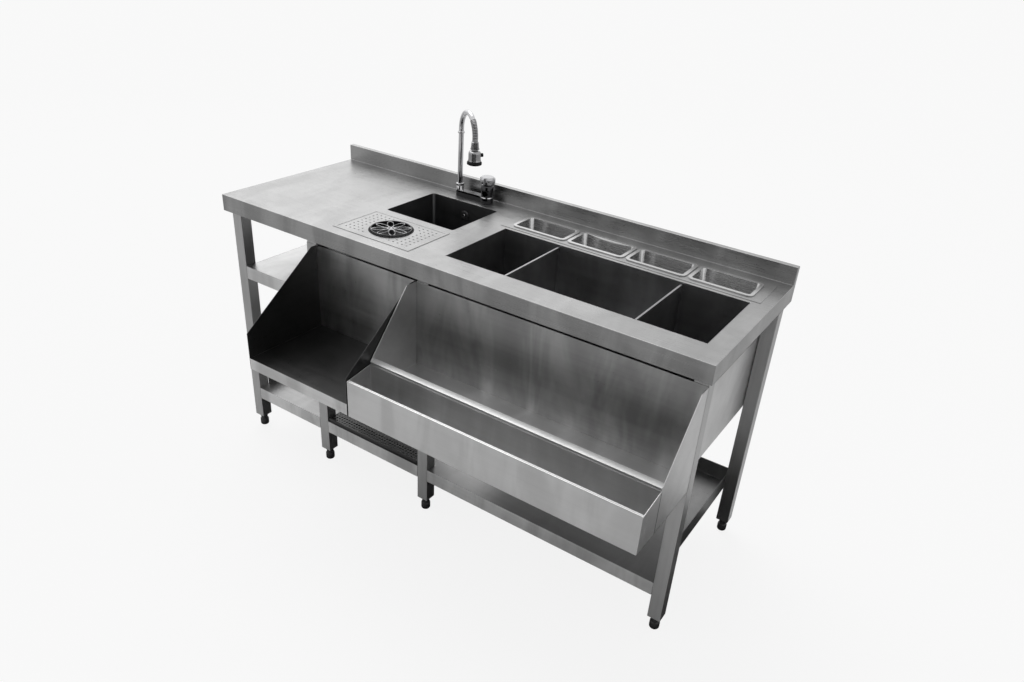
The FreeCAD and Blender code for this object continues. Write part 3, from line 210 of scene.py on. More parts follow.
def feed(tree, socket, value):
    """Links another node's value to a socket, or sets the socket to a plain value."""
    if isinstance(value, bpy.types.NodeSocket):
        tree.links.new(value, socket)
    else:
        socket.default_value = value


def stretched(tree, vector, stretch):
    """A vector multiplied part by part by another."""
    node = tree.nodes.new("ShaderNodeVectorMath")
    node.operation = "MULTIPLY"
    feed(tree, node.inputs[0], vector)
    feed(tree, node.inputs[1], stretch)
    return node.outputs[0]


def ranged(tree, value, low, high, to_low=0.0, to_high=1.0):
    """A value moved smoothly from one range to another, and held at its ends."""
    node = tree.nodes.new("ShaderNodeMapRange")
    node.interpolation_type = "SMOOTHSTEP"
    for title, number in (("From Min", low), ("From Max", high),
                          ("To Min", to_low), ("To Max", to_high)):
        node.inputs[title].default_value = number
    tree.links.new(value, node.inputs["Value"])
    return node.outputs["Result"]


def combined(tree, kind, first, second):
    """Two values added, multiplied or the like. Either may be a plain number."""
    node = tree.nodes.new("ShaderNodeMath")
    node.operation = kind
    feed(tree, node.inputs[0], first)
    feed(tree, node.inputs[1], second)
    return node.outputs[0]


def mixed(tree, factor, first, second):
    """A colour between two others. Either may be a plain colour."""
    mix = tree.nodes.new("ShaderNodeMix")
    mix.data_type = "RGBA"
    feed(tree, mix.inputs[MIX_FACTOR], factor)
    feed(tree, mix.inputs[MIX_FIRST], first)
    feed(tree, mix.inputs[MIX_SECOND], second)
    return mix.outputs[MIX_RESULT]


def make_brushed_grain():
    """Fine lines left by the abrasive belt, running along the axis with the small stretch."""
    tree, start, end = new_group("Brushed Grain", [
        ("Vector", "NodeSocketVector", (0, 0, 0)),
        ("Stretch", "NodeSocketVector", (1, 1, 1))], [
        ("Line", "NodeSocketFloat"), ("Band", "NodeSocketFloat")])
    lines = stretched(tree, start.outputs["Vector"], start.outputs["Stretch"])
    fine = noise_on(tree, lines, 2.0, 3)
    bands = stretched(tree, lines, (0.35, 0.09, 0.09))
    tree.links.new(fine, end.inputs["Line"])
    tree.links.new(noise_on(tree, bands, 1.0, 2), end.inputs["Band"])
    return tree


def make_sheet_clouds():
    """Slow clouding from rolling and polishing, drawn out downwards on upright faces."""
    tree, start, end = new_group("Sheet Clouds", [
        ("Vector", "NodeSocketVector", (0, 0, 0))], [("Cloud", "NodeSocketFloat")])
    drawn = stretched(tree, start.outputs["Vector"], (7.5, 3.0, 2.2))
    cloud = noise_on(tree, drawn, 1.3, 3, 0.6)
    tree.links.new(ranged(tree, cloud, 0.33, 0.68), end.inputs["Cloud"])
    return tree


def make_wiping_marks():
    """Dull patches where hands and cloths go, with a few stray hair scratches."""
    tree, start, end = new_group("Wiping Marks", [
        ("Vector", "NodeSocketVector", (0, 0, 0))], [
        ("Mark", "NodeSocketFloat"), ("Scratch", "NodeSocketFloat")])
    vector = start.outputs["Vector"]
    wide = ranged(tree, noise_on(tree, vector, 6.0, 4, 1.4), 0.46, 0.72)
    broken = ranged(tree, noise_on(tree, vector, 55.0, 2), 0.35, 0.65, 0.45, 1.0)
    mark = combined(tree, "MULTIPLY", wide, broken)
    turn = tree.nodes.new("ShaderNodeVectorRotate")
    turn.rotation_type = "EULER_XYZ"
    turn.inputs["Rotation"].default_value = (0.5, 0.3, 0.7)
    tree.links.new(vector, turn.inputs["Vector"])
    hair = noise_on(tree, stretched(tree, turn.outputs[0], (3, 260, 260)), 1.0, 0, 0.2)
    tree.links.new(mark, end.inputs["Mark"])
    tree.links.new(ranged(tree, hair, 0.74, 0.80), end.inputs["Scratch"])
    return tree


def make_moulded_skin():
    """The fine pebble of a moulded surface, with a little dust in it."""
    tree, start, end = new_group("Moulded Skin", [
        ("Vector", "NodeSocketVector", (0, 0, 0)),
        ("Scale", "NodeSocketFloat", 900.0)], [
        ("Pebble", "NodeSocketFloat"), ("Dust", "NodeSocketFloat")])
    pebble = tree.nodes.new("ShaderNodeTexVoronoi")
    tree.links.new(start.outputs["Vector"], pebble.inputs["Vector"])
    tree.links.new(start.outputs["Scale"], pebble.inputs["Scale"])
    tree.links.new(pebble.outputs["Distance"], end.inputs["Pebble"])
    dust = noise_on(tree, start.outputs["Vector"], 40.0, 5)
    tree.links.new(ranged(tree, dust, 0.5, 0.8), end.inputs["Dust"])
    return tree


# ---- materials -----------------------------------------------------------------

def new_material(name):
    """The tree and the shader of a new material."""
    material = bpy.data.materials.new(name)
    material.use_nodes = True
    tree = material.node_tree
    return tree, next(node for node in tree.nodes if node.type == "BSDF_PRINCIPLED")


def own_coordinates(tree):
    return tree.nodes.new("ShaderNodeTexCoord").outputs["Object"]


def placed(tree, group, vector, **values):
    """One use of a shader group."""
    node = tree.nodes.new("ShaderNodeGroup")
    node.node_tree = group
    tree.links.new(vector, node.inputs["Vector"])
    for title, value in values.items():
        node.inputs[title].default_value = value
    return node


def tinted(tree, mask, colour, low, high):
    """The colour between two shades of itself, by a mask."""
    shades = [[min(part * share, 1) for part in colour] + [1] for share in (low, high)]
    return mixed(tree, mask, *shades)


def bumped(tree, shader, height, depth, strength):
    """Lays the bumps of a height over a shader."""
    bump = tree.nodes.new("ShaderNodeBump")
    bump.inputs["Distance"].default_value = depth
    bump.inputs["Strength"].default_value = strength
    tree.links.new(height, bump.inputs["Height"])
    tree.links.new(bump.outputs["Normal"], shader.inputs["Normal"])


def stepped(tree, place, level, under, over):
    """One colour under a height and another over it, used to paint faces lighter or darker by their
    height as light and shade.
    """
    blend = 0.0003
    parts = tree.nodes.new("ShaderNodeSeparateXYZ")
    tree.links.new(place, parts.inputs[0])
    return mixed(tree, ranged(tree, parts.outputs["Z"], level - blend, level + blend), under, over)


def scaled(tree, value, share):
    return combined(tree, "MULTIPLY", value, share)


def steel(groups, name, colour, roughness, stretch,
          contrast=0.16, under=None, level=DECK_UNDERSIDE):
    """Brushed steel with its grain along one axis. Under is its colour below a level, if another: a
    painted shade or painted highlight on those faces of the same steel.
    """
    cloud_share, band_share = 0.55, 0.45
    smoother, rougher, dulled, scratched = 0.05, 0.07, 0.07, 0.04
    line_depth, line_strength = 0.0001, 0.35
    tree, shader = new_material(name)
    place = own_coordinates(tree)
    grain = placed(tree, groups["grain"], place, Stretch=stretch)
    cloud = placed(tree, groups["clouds"], place)
    marks = placed(tree, groups["marks"], place)
    shade = combined(tree, "ADD", scaled(tree, cloud.outputs["Cloud"], cloud_share),
                     scaled(tree, grain.outputs["Band"], band_share))
    base = tinted(tree, shade, colour, 1 - contrast, 1 + contrast)
    if under:
        lower = tinted(tree, shade, under, 1 - contrast * 2, 1 + contrast * 2)
        base = stepped(tree, place, level, lower, base)
    tree.links.new(base, shader.inputs["Base Color"])
    shader.inputs["Metallic"].default_value = 1.0
    line = grain.outputs["Line"]
    rough = ranged(tree, line, 0.3, 0.7, roughness - smoother, roughness + rougher)
    rough = combined(tree, "ADD", rough, scaled(tree, marks.outputs["Mark"], dulled))
    rough = combined(tree, "SUBTRACT", rough, scaled(tree, marks.outputs["Scratch"], scratched))
    tree.links.new(rough, shader.inputs["Roughness"])
    bumped(tree, shader, line, line_depth, line_strength)


def polished(groups, name, colour, roughness, under=None, level=0.0):
    """Chrome plate with water spots and wiping marks. Under is its colour below a level, if another: a
    painted dark reflection.
    """
    wiped_shade, wiped_roughness, spot_roughness = 0.93, 0.06, 0.10
    tree, shader = new_material(name)
    place = own_coordinates(tree)
    mark = placed(tree, groups["marks"], place).outputs["Mark"]
    shader.inputs["Metallic"].default_value = 1.0
    base = tinted(tree, mark, colour, 1.0, wiped_shade)
    if under:
        base = stepped(tree, place, level, tinted(tree, mark, under, 1.0, wiped_shade), base)
    tree.links.new(base, shader.inputs["Base Color"])
    spots = ranged(tree, noise_on(tree, place, 320.0, 2), 0.62, 0.72, 0, spot_roughness)
    rough = combined(tree, "ADD", scaled(tree, mark, wiped_roughness), roughness)
    tree.links.new(combined(tree, "ADD", rough, spots), shader.inputs["Roughness"])


def moulded(groups, name, colour, roughness, scale, shine):
    """Black plastic or rubber, paler and duller where dust lies."""
    pebble_depth, pebble_strength = 0.00015, 0.25
    tree, shader = new_material(name)
    place = own_coordinates(tree)
    shader.inputs["Specular IOR Level"].default_value = shine
    skin = placed(tree, groups["skin"], place, Scale=scale)
    dust = skin.outputs["Dust"]
    dusty = [part * 1.6 + 0.006 for part in colour]
    tree.links.new(mixed(tree, dust, [*colour, 1], [*dusty, 1]), shader.inputs["Base Color"])
    rough = ranged(tree, dust, 0, 1, roughness, roughness + 0.15)
    tree.links.new(rough, shader.inputs["Roughness"])
    bumped(tree, shader, skin.outputs["Pebble"], pebble_depth, pebble_strength)


def make_materials(finishes):
    """Every material of the station, under the name that the pieces ask for."""
    groups = {"grain": make_brushed_grain(), "clouds": make_sheet_clouds(),
              "marks": make_wiping_marks(), "skin": make_moulded_skin()}
    rough = finishes.brushed_roughness
    # The worktop's aprons, below the deck's underside, are painted darker than its top as shade.
    steel(groups, "Deck Steel", finishes.deck, rough, ALONG_X, under=finishes.apron)
    # Below the deck's underside the drip tray's inside, and below the plate's top the walls of its
    # holes, are painted nearly black as shade.
    steel(groups, "Tray Steel", finishes.deck, rough, ALONG_X, under=finishes.painted_recess_shade)
    steel(groups, "Plate Steel", finishes.deck, rough, ALONG_X, under=finishes.painted_recess_shade,
          level=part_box("rinser_plate")[1].z - 0.0004)
    steel(groups, "Shelf Steel", finishes.sheet, rough + 0.04, ALONG_X)
    # Each shelf's top, over its lip's height, is painted darker than its lips as shade; the middle
    # shelf's top takes the leg colour.
    for name, node, top in (("Lower Shelf Steel", "lower_shelf", finishes.shelf_top),
                            ("Middle Shelf Steel", "mid_shelf", finishes.leg),
                            ("Bay Steel", "machine_shelf", finishes.bay_floor)):
        lip_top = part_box(node)[0].z + LIP_HEIGHT[node]
        steel(groups, name, top, rough + 0.04, ALONG_X, under=finishes.sheet,
              level=lip_top - 0.0005)
    steel(groups, "Rail Steel", finishes.sheet, rough + 0.10, ALONG_X)
    # Over each strip's top its beads are painted near white as a highlight; under it the rear strip is
    # painted lighter, as lit from above.
    for name, node, wall, flat in (("Nosing Steel", "rail_rear", REAR_WALL, finishes.nosing),
                                   ("Safe Edge Steel", "rail_front", FRONT_WALL, finishes.leg)):
        strip_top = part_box(node)[0].z + wall + STRIP
        steel(groups, name, finishes.bead, rough + 0.20, ALONG_X, 0.05, flat, strip_top)
    # The drainer's steel is painted nearly black as shade.
    steel(groups, "Drainer Steel", finishes.drainer, rough, ALONG_X)
    steel(groups, "Panel Steel", finishes.panel, rough + 0.04, ALONG_X, contrast=0.4)
    # The cheeks' steel is painted nearly black as shade.
    steel(groups, "Cheek Steel", finishes.cheek, rough + 0.04, ALONG_Y, contrast=0.3)
    steel(groups, "Leg Steel", finishes.leg, rough + 0.06, ALONG_Z)
    # The sink's steel is painted nearly black as shade.
    steel(groups, "Bowl Steel", finishes.bowl, rough + 0.10, ALONG_X)
    steel(groups, "Bin Steel", finishes.bin, rough + 0.04, ALONG_X, contrast=0.3)
    steel(groups, "Pan Steel", finishes.pan, rough - 0.08, ALONG_X, contrast=0.08)
    polished(groups, "Chrome", finishes.chrome, finishes.chrome_roughness)
    # Below the valve's foot the bar is painted nearly black as a dark reflection, as is the valve's own
    # chrome.
    polished(groups, "Bar Chrome", finishes.chrome, finishes.chrome_roughness,
             under=finishes.painted_dark_reflection, level=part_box("tap_valve")[0].z - 0.0035)
    polished(groups, "Painted Dark Reflection Chrome", finishes.painted_dark_reflection, finishes.chrome_roughness)
    # Chrome painted darker as a darker reflection, for the spray head, its neck and the rinser's star.
    polished(groups, "Spray Chrome", finishes.spray, finishes.chrome_roughness + 0.07)
    polished(groups, "Knob Chrome", finishes.knob, finishes.chrome_roughness + 0.16)
    moulded(groups, "Black Plastic", finishes.plastic, 0.5, 1400.0, 0.1)
    moulded(groups, "Gloss Plastic", finishes.plastic, 0.20, 2200.0, 0.5)
    moulded(groups, "Foot Rubber", finishes.rubber, 0.36, 900.0, 0.4)


def paint(item, material):
    """Gives an object one material, in place of whatever it came with."""
    item.data.materials.clear()
    item.data.materials.append(bpy.data.materials[material])


def dress(node, material, edge=0.0, segments=2, limit=40):
    """Gives a CAD node its material and, where an edge is given, rounds its sharp edges."""
    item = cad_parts[node]
    paint(item, material)
    if edge:
        weld = item.modifiers.new("Join", "WELD")
        weld.merge_threshold = 0.00001
        bevel = item.modifiers.new("Rounded Edges", "BEVEL")
        bevel.width = edge
        bevel.segments = segments
        bevel.limit_method = "ANGLE"
        bevel.angle_limit = math.radians(limit)
        bevel.harden_normals = True


# ---- shapes ---------------------------------------------------------------------

def add_object(name, data):
    item = bpy.data.objects.new(name, data)
    bpy.context.scene.collection.objects.link(item)
    return item


def add_mesh(name, bm):
    """Turns a finished bmesh into an object of the scene."""
    mesh = bpy.data.meshes.new(name)
    bm.to_mesh(mesh)
    bm.free()
    return add_object(name, mesh)


def finish_piece(name, bm, body, material, stands_for=(), sharp=30):
    """Turns a finished bmesh into a piece that rides on a CAD body."""
    bmesh.ops.remove_doubles(bm, verts=bm.verts, dist=0.000001)
    bmesh.ops.recalc_face_normals(bm, faces=bm.faces)
    item = add_mesh(name, bm)
    item.data.shade_smooth()
    item.data.set_sharp_from_angle(angle=math.radians(sharp))
    paint(item, material)
    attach(item, body)
    if stands_for:
        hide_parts(*stands_for)


def edges_of(verts):
    return list({edge for vert in verts for edge in vert.link_edges})


def verts_of(geometry):
    return [item for item in geometry if isinstance(item, bmesh.types.BMVert)]


def turned(bm, profile, centre, steps=48):
    """Spins (radius, height) points round the upright axis through the centre."""
    centre = Vector(centre)
    points = [bm.verts.new(centre + Vector((radius, 0, height))) for radius, height in profile]
    edges = [bm.edges.new(pair) for pair in zip(points, points[1:])]
    bmesh.ops.spin(bm, geom=points + edges, cent=centre, axis=UP, angle=math.tau, steps=steps,
                   use_merge=True, use_normal_flip=False)


def ring(bm, place, radius, thickness, around=32, across=8, oval=1.0):
    """A round bar bent into a ring, in the XY plane of the place given. Oval stretches it along X."""
    before = set(bm.verts)
    stand = Matrix.Translation((radius, 0, 0)) @ Matrix.Rotation(math.pi / 2, 4, "X")
    section = bmesh.ops.create_circle(bm, segments=across, radius=thickness / 2,
                                      matrix=stand)["verts"]
    bmesh.ops.spin(bm, geom=section + edges_of(section), cent=(0, 0, 0), axis=UP, angle=math.tau,
                   steps=around, use_merge=True)
    made = [vert for vert in bm.verts if vert not in before]
    bmesh.ops.scale(bm, vec=(oval, 1, 1), verts=made)
    bmesh.ops.transform(bm, matrix=place, verts=made)


def repeated(bm, geometry, count, step):
    """Repeats geometry in a row, and gives all of it."""
    made = list(geometry)
    for i in range(1, count):
        copy = bmesh.ops.duplicate(bm, geom=geometry)["geom"]
        bmesh.ops.translate(bm, vec=step * i, verts=verts_of(copy))
        made += copy
    return made


def bar(bm, size, place, edge):
    """A small block with broken edges."""
    made = bmesh.ops.create_cube(bm, size=1.0)["verts"]
    bmesh.ops.scale(bm, vec=size, verts=made)
    result = bmesh.ops.bevel(bm, geom=edges_of(made), offset=edge, segments=2, profile=0.5,
                             affect="EDGES", material=-1)
    made = list(set(result["verts"]) | {vert for vert in made if vert.is_valid})
    bmesh.ops.transform(bm, matrix=place, verts=made)


def drawn_out(bm, faces, along):
    """Draws faces out along a vector, and gives the far end's vertices."""
    ends = verts_of(bmesh.ops.extrude_face_region(bm, geom=faces)["geom"])
    bmesh.ops.translate(bm, vec=along, verts=ends)
    return ends


def middle_of(node):
    low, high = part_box(node)
    return (low + high) / 2


# ---- the pieces, one operator each ----------------------------------------------

class STATION_OT_worktop(bpy.types.Operator):
    """Finishes the folded worktop with its aprons and upstand"""
    bl_idname = "station.worktop"
    bl_label = "Worktop"

    def execute(self, context):
        dress("worktop", "Deck Steel", context.scene.station_edges.fold)
        return {"FINISHED"}


class STATION_OT_sink(bpy.types.Operator):
    """Finishes the sink bowl and adds its strainer and the screw in its overflow cap"""
    bl_idname = "station.sink"
    bl_label = "Sink"

    def execute(self, context):
        edges = context.scene.station_edges
        # The bowl and its overflow cap take steel painted nearly black as the shade inside the sink.
        dress("sink_bowl", "Bowl Steel", edges.fold)
        dress("sink_waste", "Chrome", edges.trim)
        dress("overflow_cap", "Bowl Steel", edges.trim)

        waste = middle_of("sink_waste")
        self.make_strainer(Vector((waste.x, waste.y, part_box("sink_waste")[1].z - 0.005)))
        self.make_screw(waste.x)
        return {"FINISHED"}

    def make_strainer(self, middle):
        """A ring, a hub and the spokes between them, down in the mouth of the waste."""
        spokes, spoke, spoke_middle = 8, (0.0165, 0.0016, 0.0018), 0.0118
        bm = bmesh.new()
        turned(bm, [(0.0195, -0.0015), (0.0215, 0), (0.0215, 0.0015), (0.0195, 0.0015),
                    (0.0195, -0.0015)], middle)
        turned(bm, [(0, -0.001), (0.0035, -0.001), (0.0045, 0), (0.0035, 0.002), (0, 0.0026)],
               middle, 24)
        for i in range(spokes):
            spin = Matrix.Translation(middle) @ Matrix.Rotation(i * math.tau / spokes, 4, "Z")
            bar(bm, spoke, spin @ Matrix.Translation((spoke_middle, 0, 0)), 0.0004)
        finish_piece("waste_strainer", bm, "table", "Chrome")

    def make_screw(self, across):
        """The domed screw that faces the front from the overflow cap's middle."""
        low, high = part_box("overflow_cap")
        bm = bmesh.new()
        turned(bm, [(0, 0.0016), (0.0022, 0.0016), (0.0034, 0.0009), (0.0036, 0), (0.0036, -0.002)],
               (0, 0, 0), 28)
        seat = Matrix.Translation((across, low.y + 0.0024, (low.z + high.z) / 2))
        bmesh.ops.transform(bm, matrix=seat @ Matrix.Rotation(math.pi / 2, 4, "X"), verts=bm.verts)
        finish_piece("overflow_screw", bm, "table", "Chrome")


class STATION_OT_rinser(bpy.types.Operator):
    """Finishes the glass rinser and makes its looped star"""
    bl_idname = "station.rinser"
    bl_label = "Glass rinser"

    def execute(self, context):
        edges = context.scene.station_edges
        sizes = context.scene.station_rinser
        dress("rinser_tray", "Tray Steel", edges.trim)
        dress("rinser_plate", "Plate Steel", edges.trim * 0.6, 1, 50)
        dress("rinser_body", "Black Plastic", edges.trim)
        dress("rinser_nozzle", "Chrome", edges.trim)

        self.make_star(sizes)
        return {"FINISHED"}

    def make_star(self, sizes):
        """The star that a glass presses down: an outer rim, and looped arms round a hub."""
        low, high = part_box("rinser_grate")
        here = Matrix.Translation((low + high) / 2)
        outside = (high.x - low.x) / 2
        hub = 0.0095
        bm = bmesh.new()
        ring(bm, here, outside - sizes.rim / 2, sizes.rim, 72)
        finish_piece("rinser_star_rim", bm, "rinser_star", "Gloss Plastic",
                     ("rinser_grate",), 60)
        bm = bmesh.new()
        ring(bm, here, hub, sizes.wire * 1.3, 32)
        reach = outside - sizes.rim - hub
        oval = reach / sizes.petal_width
        for i in range(sizes.petals):
            spin = here @ Matrix.Rotation(i * math.tau / sizes.petals, 4, "Z")
            out = spin @ Matrix.Translation((hub + reach / 2, 0, 0))
            ring(bm, out, sizes.petal_width / 2, sizes.wire, 28, 6, oval)
        finish_piece("rinser_star", bm, "rinser_star", "Spray Chrome", ("rinser_grate",), 60)


class STATION_OT_tap(bpy.types.Operator):
    """Finishes the tap and makes its beaded neck, faceted head, lock nut and knob cap"""
    bl_idname = "station.tap"
    bl_label = "Tap"

    def execute(self, context):
        edges = context.scene.station_edges
        sizes = context.scene.station_tap
        # The valve and the lower bar take chrome painted nearly black as a dark reflection.
        for node, finish in (("tap_body", "Bar Chrome"), ("tap_collar", "Chrome"),
                             ("tap_knob", "Knob Chrome"), ("tap_valve", "Painted Dark Reflection Chrome")):
            dress(node, finish, edges.trim)
        dress("tap_spout", "Chrome")
        dress("tap_head_rim", "Black Plastic", edges.trim)
        dress("tap_button", "Black Plastic", edges.trim)
        self.make_neck(sizes)
        self.make_head(sizes)
        self.make_nut(sizes)
        self.make_knob_cap()
        return {"FINISHED"}

    def make_neck(self, sizes):
        """Beads along the outer end of the arch, then a ribbed ferrule down to the head."""
        beaded_sweep = math.radians(50)
        step = sizes.bead * 0.92
        post = middle_of("tap_spout_nut")
        head = middle_of("tap_head")
        out = Vector((head.x - post.x, head.y - post.y, 0))
        radius = out.length / 2
        out.normalize()
        spring_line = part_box("tap_collar")[0].z + 0.015
        middle = Vector((post.x, post.y, spring_line)) + out * radius
        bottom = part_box("tap_head")[1].z
        bm = bmesh.new()

        beads = int(beaded_sweep * radius / step)
        for i in range(beads + 1):
            angle = beaded_sweep * (1 - i / beads)
            away = out * math.cos(angle) + UP * math.sin(angle)
            tangent = UP * -math.cos(angle) + out * math.sin(angle)
            turn = tangent.to_track_quat("Z", "Y").to_matrix().to_4x4()
            ring(bm, Matrix.Translation(middle + away * radius) @ turn, sizes.neck, sizes.bead, 28)
        end = middle + out * radius
        height = spring_line - step
        while height > bottom + sizes.ferrule_height:
            ring(bm, Matrix.Translation((end.x, end.y, height)), sizes.neck, sizes.bead, 28)
            height -= step
        turned(bm, self.ferrule_profile(sizes), (end.x, end.y, bottom), 40)
        finish_piece("tap_neck", bm, "spout", "Spray Chrome", ("tap_flex",), 35)

    def ferrule_profile(self, sizes):
        """Ribs that grow a little towards a wider foot."""
        ribs, groove, growth, bore, foot = 6, 0.0016, 0.0003, 0.002, 0.003
        top = sizes.ferrule_height
        rib = (top - 0.004) / ribs
        profile = [(bore, top + 0.001), (sizes.ferrule - 0.003, top)]
        for i in range(ribs):
            high = top - 0.001 - i * rib
            crest = sizes.ferrule + growth * i
            profile += [(crest - groove, high), (crest, high - rib * 0.3),
                        (crest, high - rib * 0.7), (crest - groove, high - rib * 0.98)]
        return profile + [(sizes.ferrule + foot, 0.0025), (sizes.ferrule + foot, 0.0), (bore, 0.0)]

    def make_head(self, sizes):
        """The spray head, with upright flats below a rounded shoulder."""
        low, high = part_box("tap_head")
        middle = (low + high) / 2
        tall = high.z - low.z
        bm = bmesh.new()
        turned(bm, [(0, 0), (0.0098, 0), (0.0105, -0.0006), (0.0105, -0.0028), (0.0098, -0.0034),
                    (0.0098, -0.0044), (0.0150, -0.0056), (0.0182, -0.0078), (0.0196, -0.0112),
                    (0.0200, -0.0145), (0.0200, -tall + 0.007), (0.0206, -tall + 0.004),
                    (0.0213, -tall + 0.0006), (0, -tall + 0.0006)],
               (middle.x, middle.y, high.z), sizes.flats)
        finish_piece("spray_head_body", bm, "spray_head", "Spray Chrome", ("tap_head",), 16)

        jets, circle = 12, 0.0095
        under = Vector((middle.x, middle.y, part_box("tap_head_rim")[0].z))
        bm = bmesh.new()
        turned(bm, [(0, 0.0012), (0.012, 0.0012), (0.0150, 0.0008), (0.0165, 0.0002), (0.0165, 0.0034),
                    (0, 0.0034)], under, 40)
        for i in range(jets):
            angle = i * math.tau / jets
            spot = under + Vector((circle * math.cos(angle), circle * math.sin(angle), 0.0012))
            ring(bm, Matrix.Translation(spot), 0.0011, 0.0007, 12, 6)
        finish_piece("spray_face", bm, "spray_head", "Chrome")

    def make_nut(self, sizes):
        """A lock nut with points all round, where the spout leaves its socket."""
        valley = 0.84
        low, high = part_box("tap_spout_nut")
        middle = (low + high) / 2
        bm = bmesh.new()
        outline = bmesh.ops.create_circle(bm, cap_ends=True, segments=sizes.nut_points * 2,
                                          radius=(high.x - low.x) / 2)["verts"]
        for vert in outline[::2]:
            vert.co *= valley
        drawn_out(bm, list(bm.faces), (0, 0, high.z - low.z))
        bmesh.ops.bevel(bm, geom=list(bm.edges), offset=0.0006, segments=2, profile=0.5,
                        affect="EDGES", material=-1)
        bmesh.ops.translate(bm, vec=(middle.x, middle.y, low.z), verts=bm.verts)
        finish_piece("spout_lock_nut", bm, "spout", "Chrome", ("tap_spout_nut",), 30)

    def make_knob_cap(self):
        """The plain cap pressed into the top of the knob."""
        low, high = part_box("tap_knob")
        middle = (low + high) / 2
        bm = bmesh.new()
        turned(bm, [(0, -0.0002), (0.0075, -0.0004), (0.0088, -0.0012), (0.0095, -0.0022),
                    (0.0101, -0.0022), (0.0108, -0.0010), (0.0116, -0.0010), (0.0120, -0.003)],
               (middle.x, middle.y, high.z), 40)
        finish_piece("knob_cap", bm, "knob", "Knob Chrome")


class STATION_OT_ice_bin(bpy.types.Operator):
    """Finishes the ice bin, its dividers and its casing"""
    bl_idname = "station.ice_bin"
    bl_label = "Ice bin"

    def execute(self, context):
        edges = context.scene.station_edges
        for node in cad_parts:
            if node.startswith("ice_"):
                dress(node, "Bin Steel", edges.trim * 0.5)
        for side in ("left", "right"):
            dress("divider_" + side, "Bin Steel", edges.trim)
            self.make_guides(side)
        dress("false_bottom", "Shelf Steel")
        dress("bin_drain", "Chrome", edges.trim)
        dress("bin_casing", "Shelf Steel", edges.fold)
        return {"FINISHED"}

    def make_guides(self, side):
        """Four angle strips, welded to the walls, that a divider slides down between."""
        gap, wide, deep, sheet, below_top = 0.0012, 0.008, 0.008, 0.0012, 0.014
        angle = [(gap, 0), (wide, 0), (wide, sheet), (gap + sheet, sheet), (gap + sheet, deep),
                 (gap, deep)]
        low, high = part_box("divider_" + side)
        middle = (low.x + high.x) / 2
        tall = high.z - below_top - low.z
        bm = bmesh.new()
        for wall, inward in ((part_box("ice_front_wall")[1].y, 1), (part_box("ice_back_wall")[0].y, -1)):
            for away in (-1, 1):
                corners = [bm.verts.new((middle + away * x, wall + inward * y, low.z))
                           for x, y in angle]
                tops = drawn_out(bm, [bm.faces.new(corners)], (0, 0, tall))
                lead_in = [vert for vert in tops if abs(vert.co.y - wall) > deep * 0.9]
                bmesh.ops.translate(bm, vec=(away * 0.0006, 0, -0.006), verts=lead_in)
        finish_piece("divider_guides_" + side, bm, "table", "Bin Steel")


class STATION_OT_garnish_rail(bpy.types.Operator):
    """Finishes the garnish frame and its pans"""
    bl_idname = "station.garnish_rail"
    bl_label = "Garnish rail"

    def execute(self, context):
        edges = context.scene.station_edges
        dress("garnish_frame", "Deck Steel", edges.trim)
        for i in range(1, 5):
            dress("garnish_pan_%d" % i, "Pan Steel", edges.trim)
        return {"FINISHED"}


class STATION_OT_legs(bpy.types.Operator):
    """Finishes the legs and makes the levelling feet"""
    bl_idname = "station.legs"
    bl_label = "Legs and feet"

    def execute(self, context):
        edges = context.scene.station_edges
        for row in ("front", "back"):
            for i in range(1, 5):
                name = "%s_%d" % (row, i)
                dress("leg_" + name, "Leg Steel", edges.tube, 3)
                self.make_foot(name)
        return {"FINISHED"}

    def make_foot(self, name):
        """A round foot on its stem, with a plain collar under the leg."""
        middle = middle_of("foot_" + name)
        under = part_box("leg_" + name)[0].z
        bm = bmesh.new()
        turned(bm, [(0, 0), (0.0105, 0), (0.0132, 0.0010), (0.0147, 0.0034), (0.0150, 0.0070),
                    (0.0150, 0.0205), (0.0146, 0.0235), (0.0132, 0.0258), (0.0116, 0.0266),
                    (0.0116, under - 0.010), (0.0128, under - 0.0092), (0.0128, under - 0.0012),
                    (0.0120, under - 0.0004), (0, under - 0.0004)], (middle.x, middle.y, 0), 32)
        finish_piece("screw_foot_" + name, bm, "foot_%s_body" % name, "Foot Rubber",
                     ("foot_" + name,), 40)


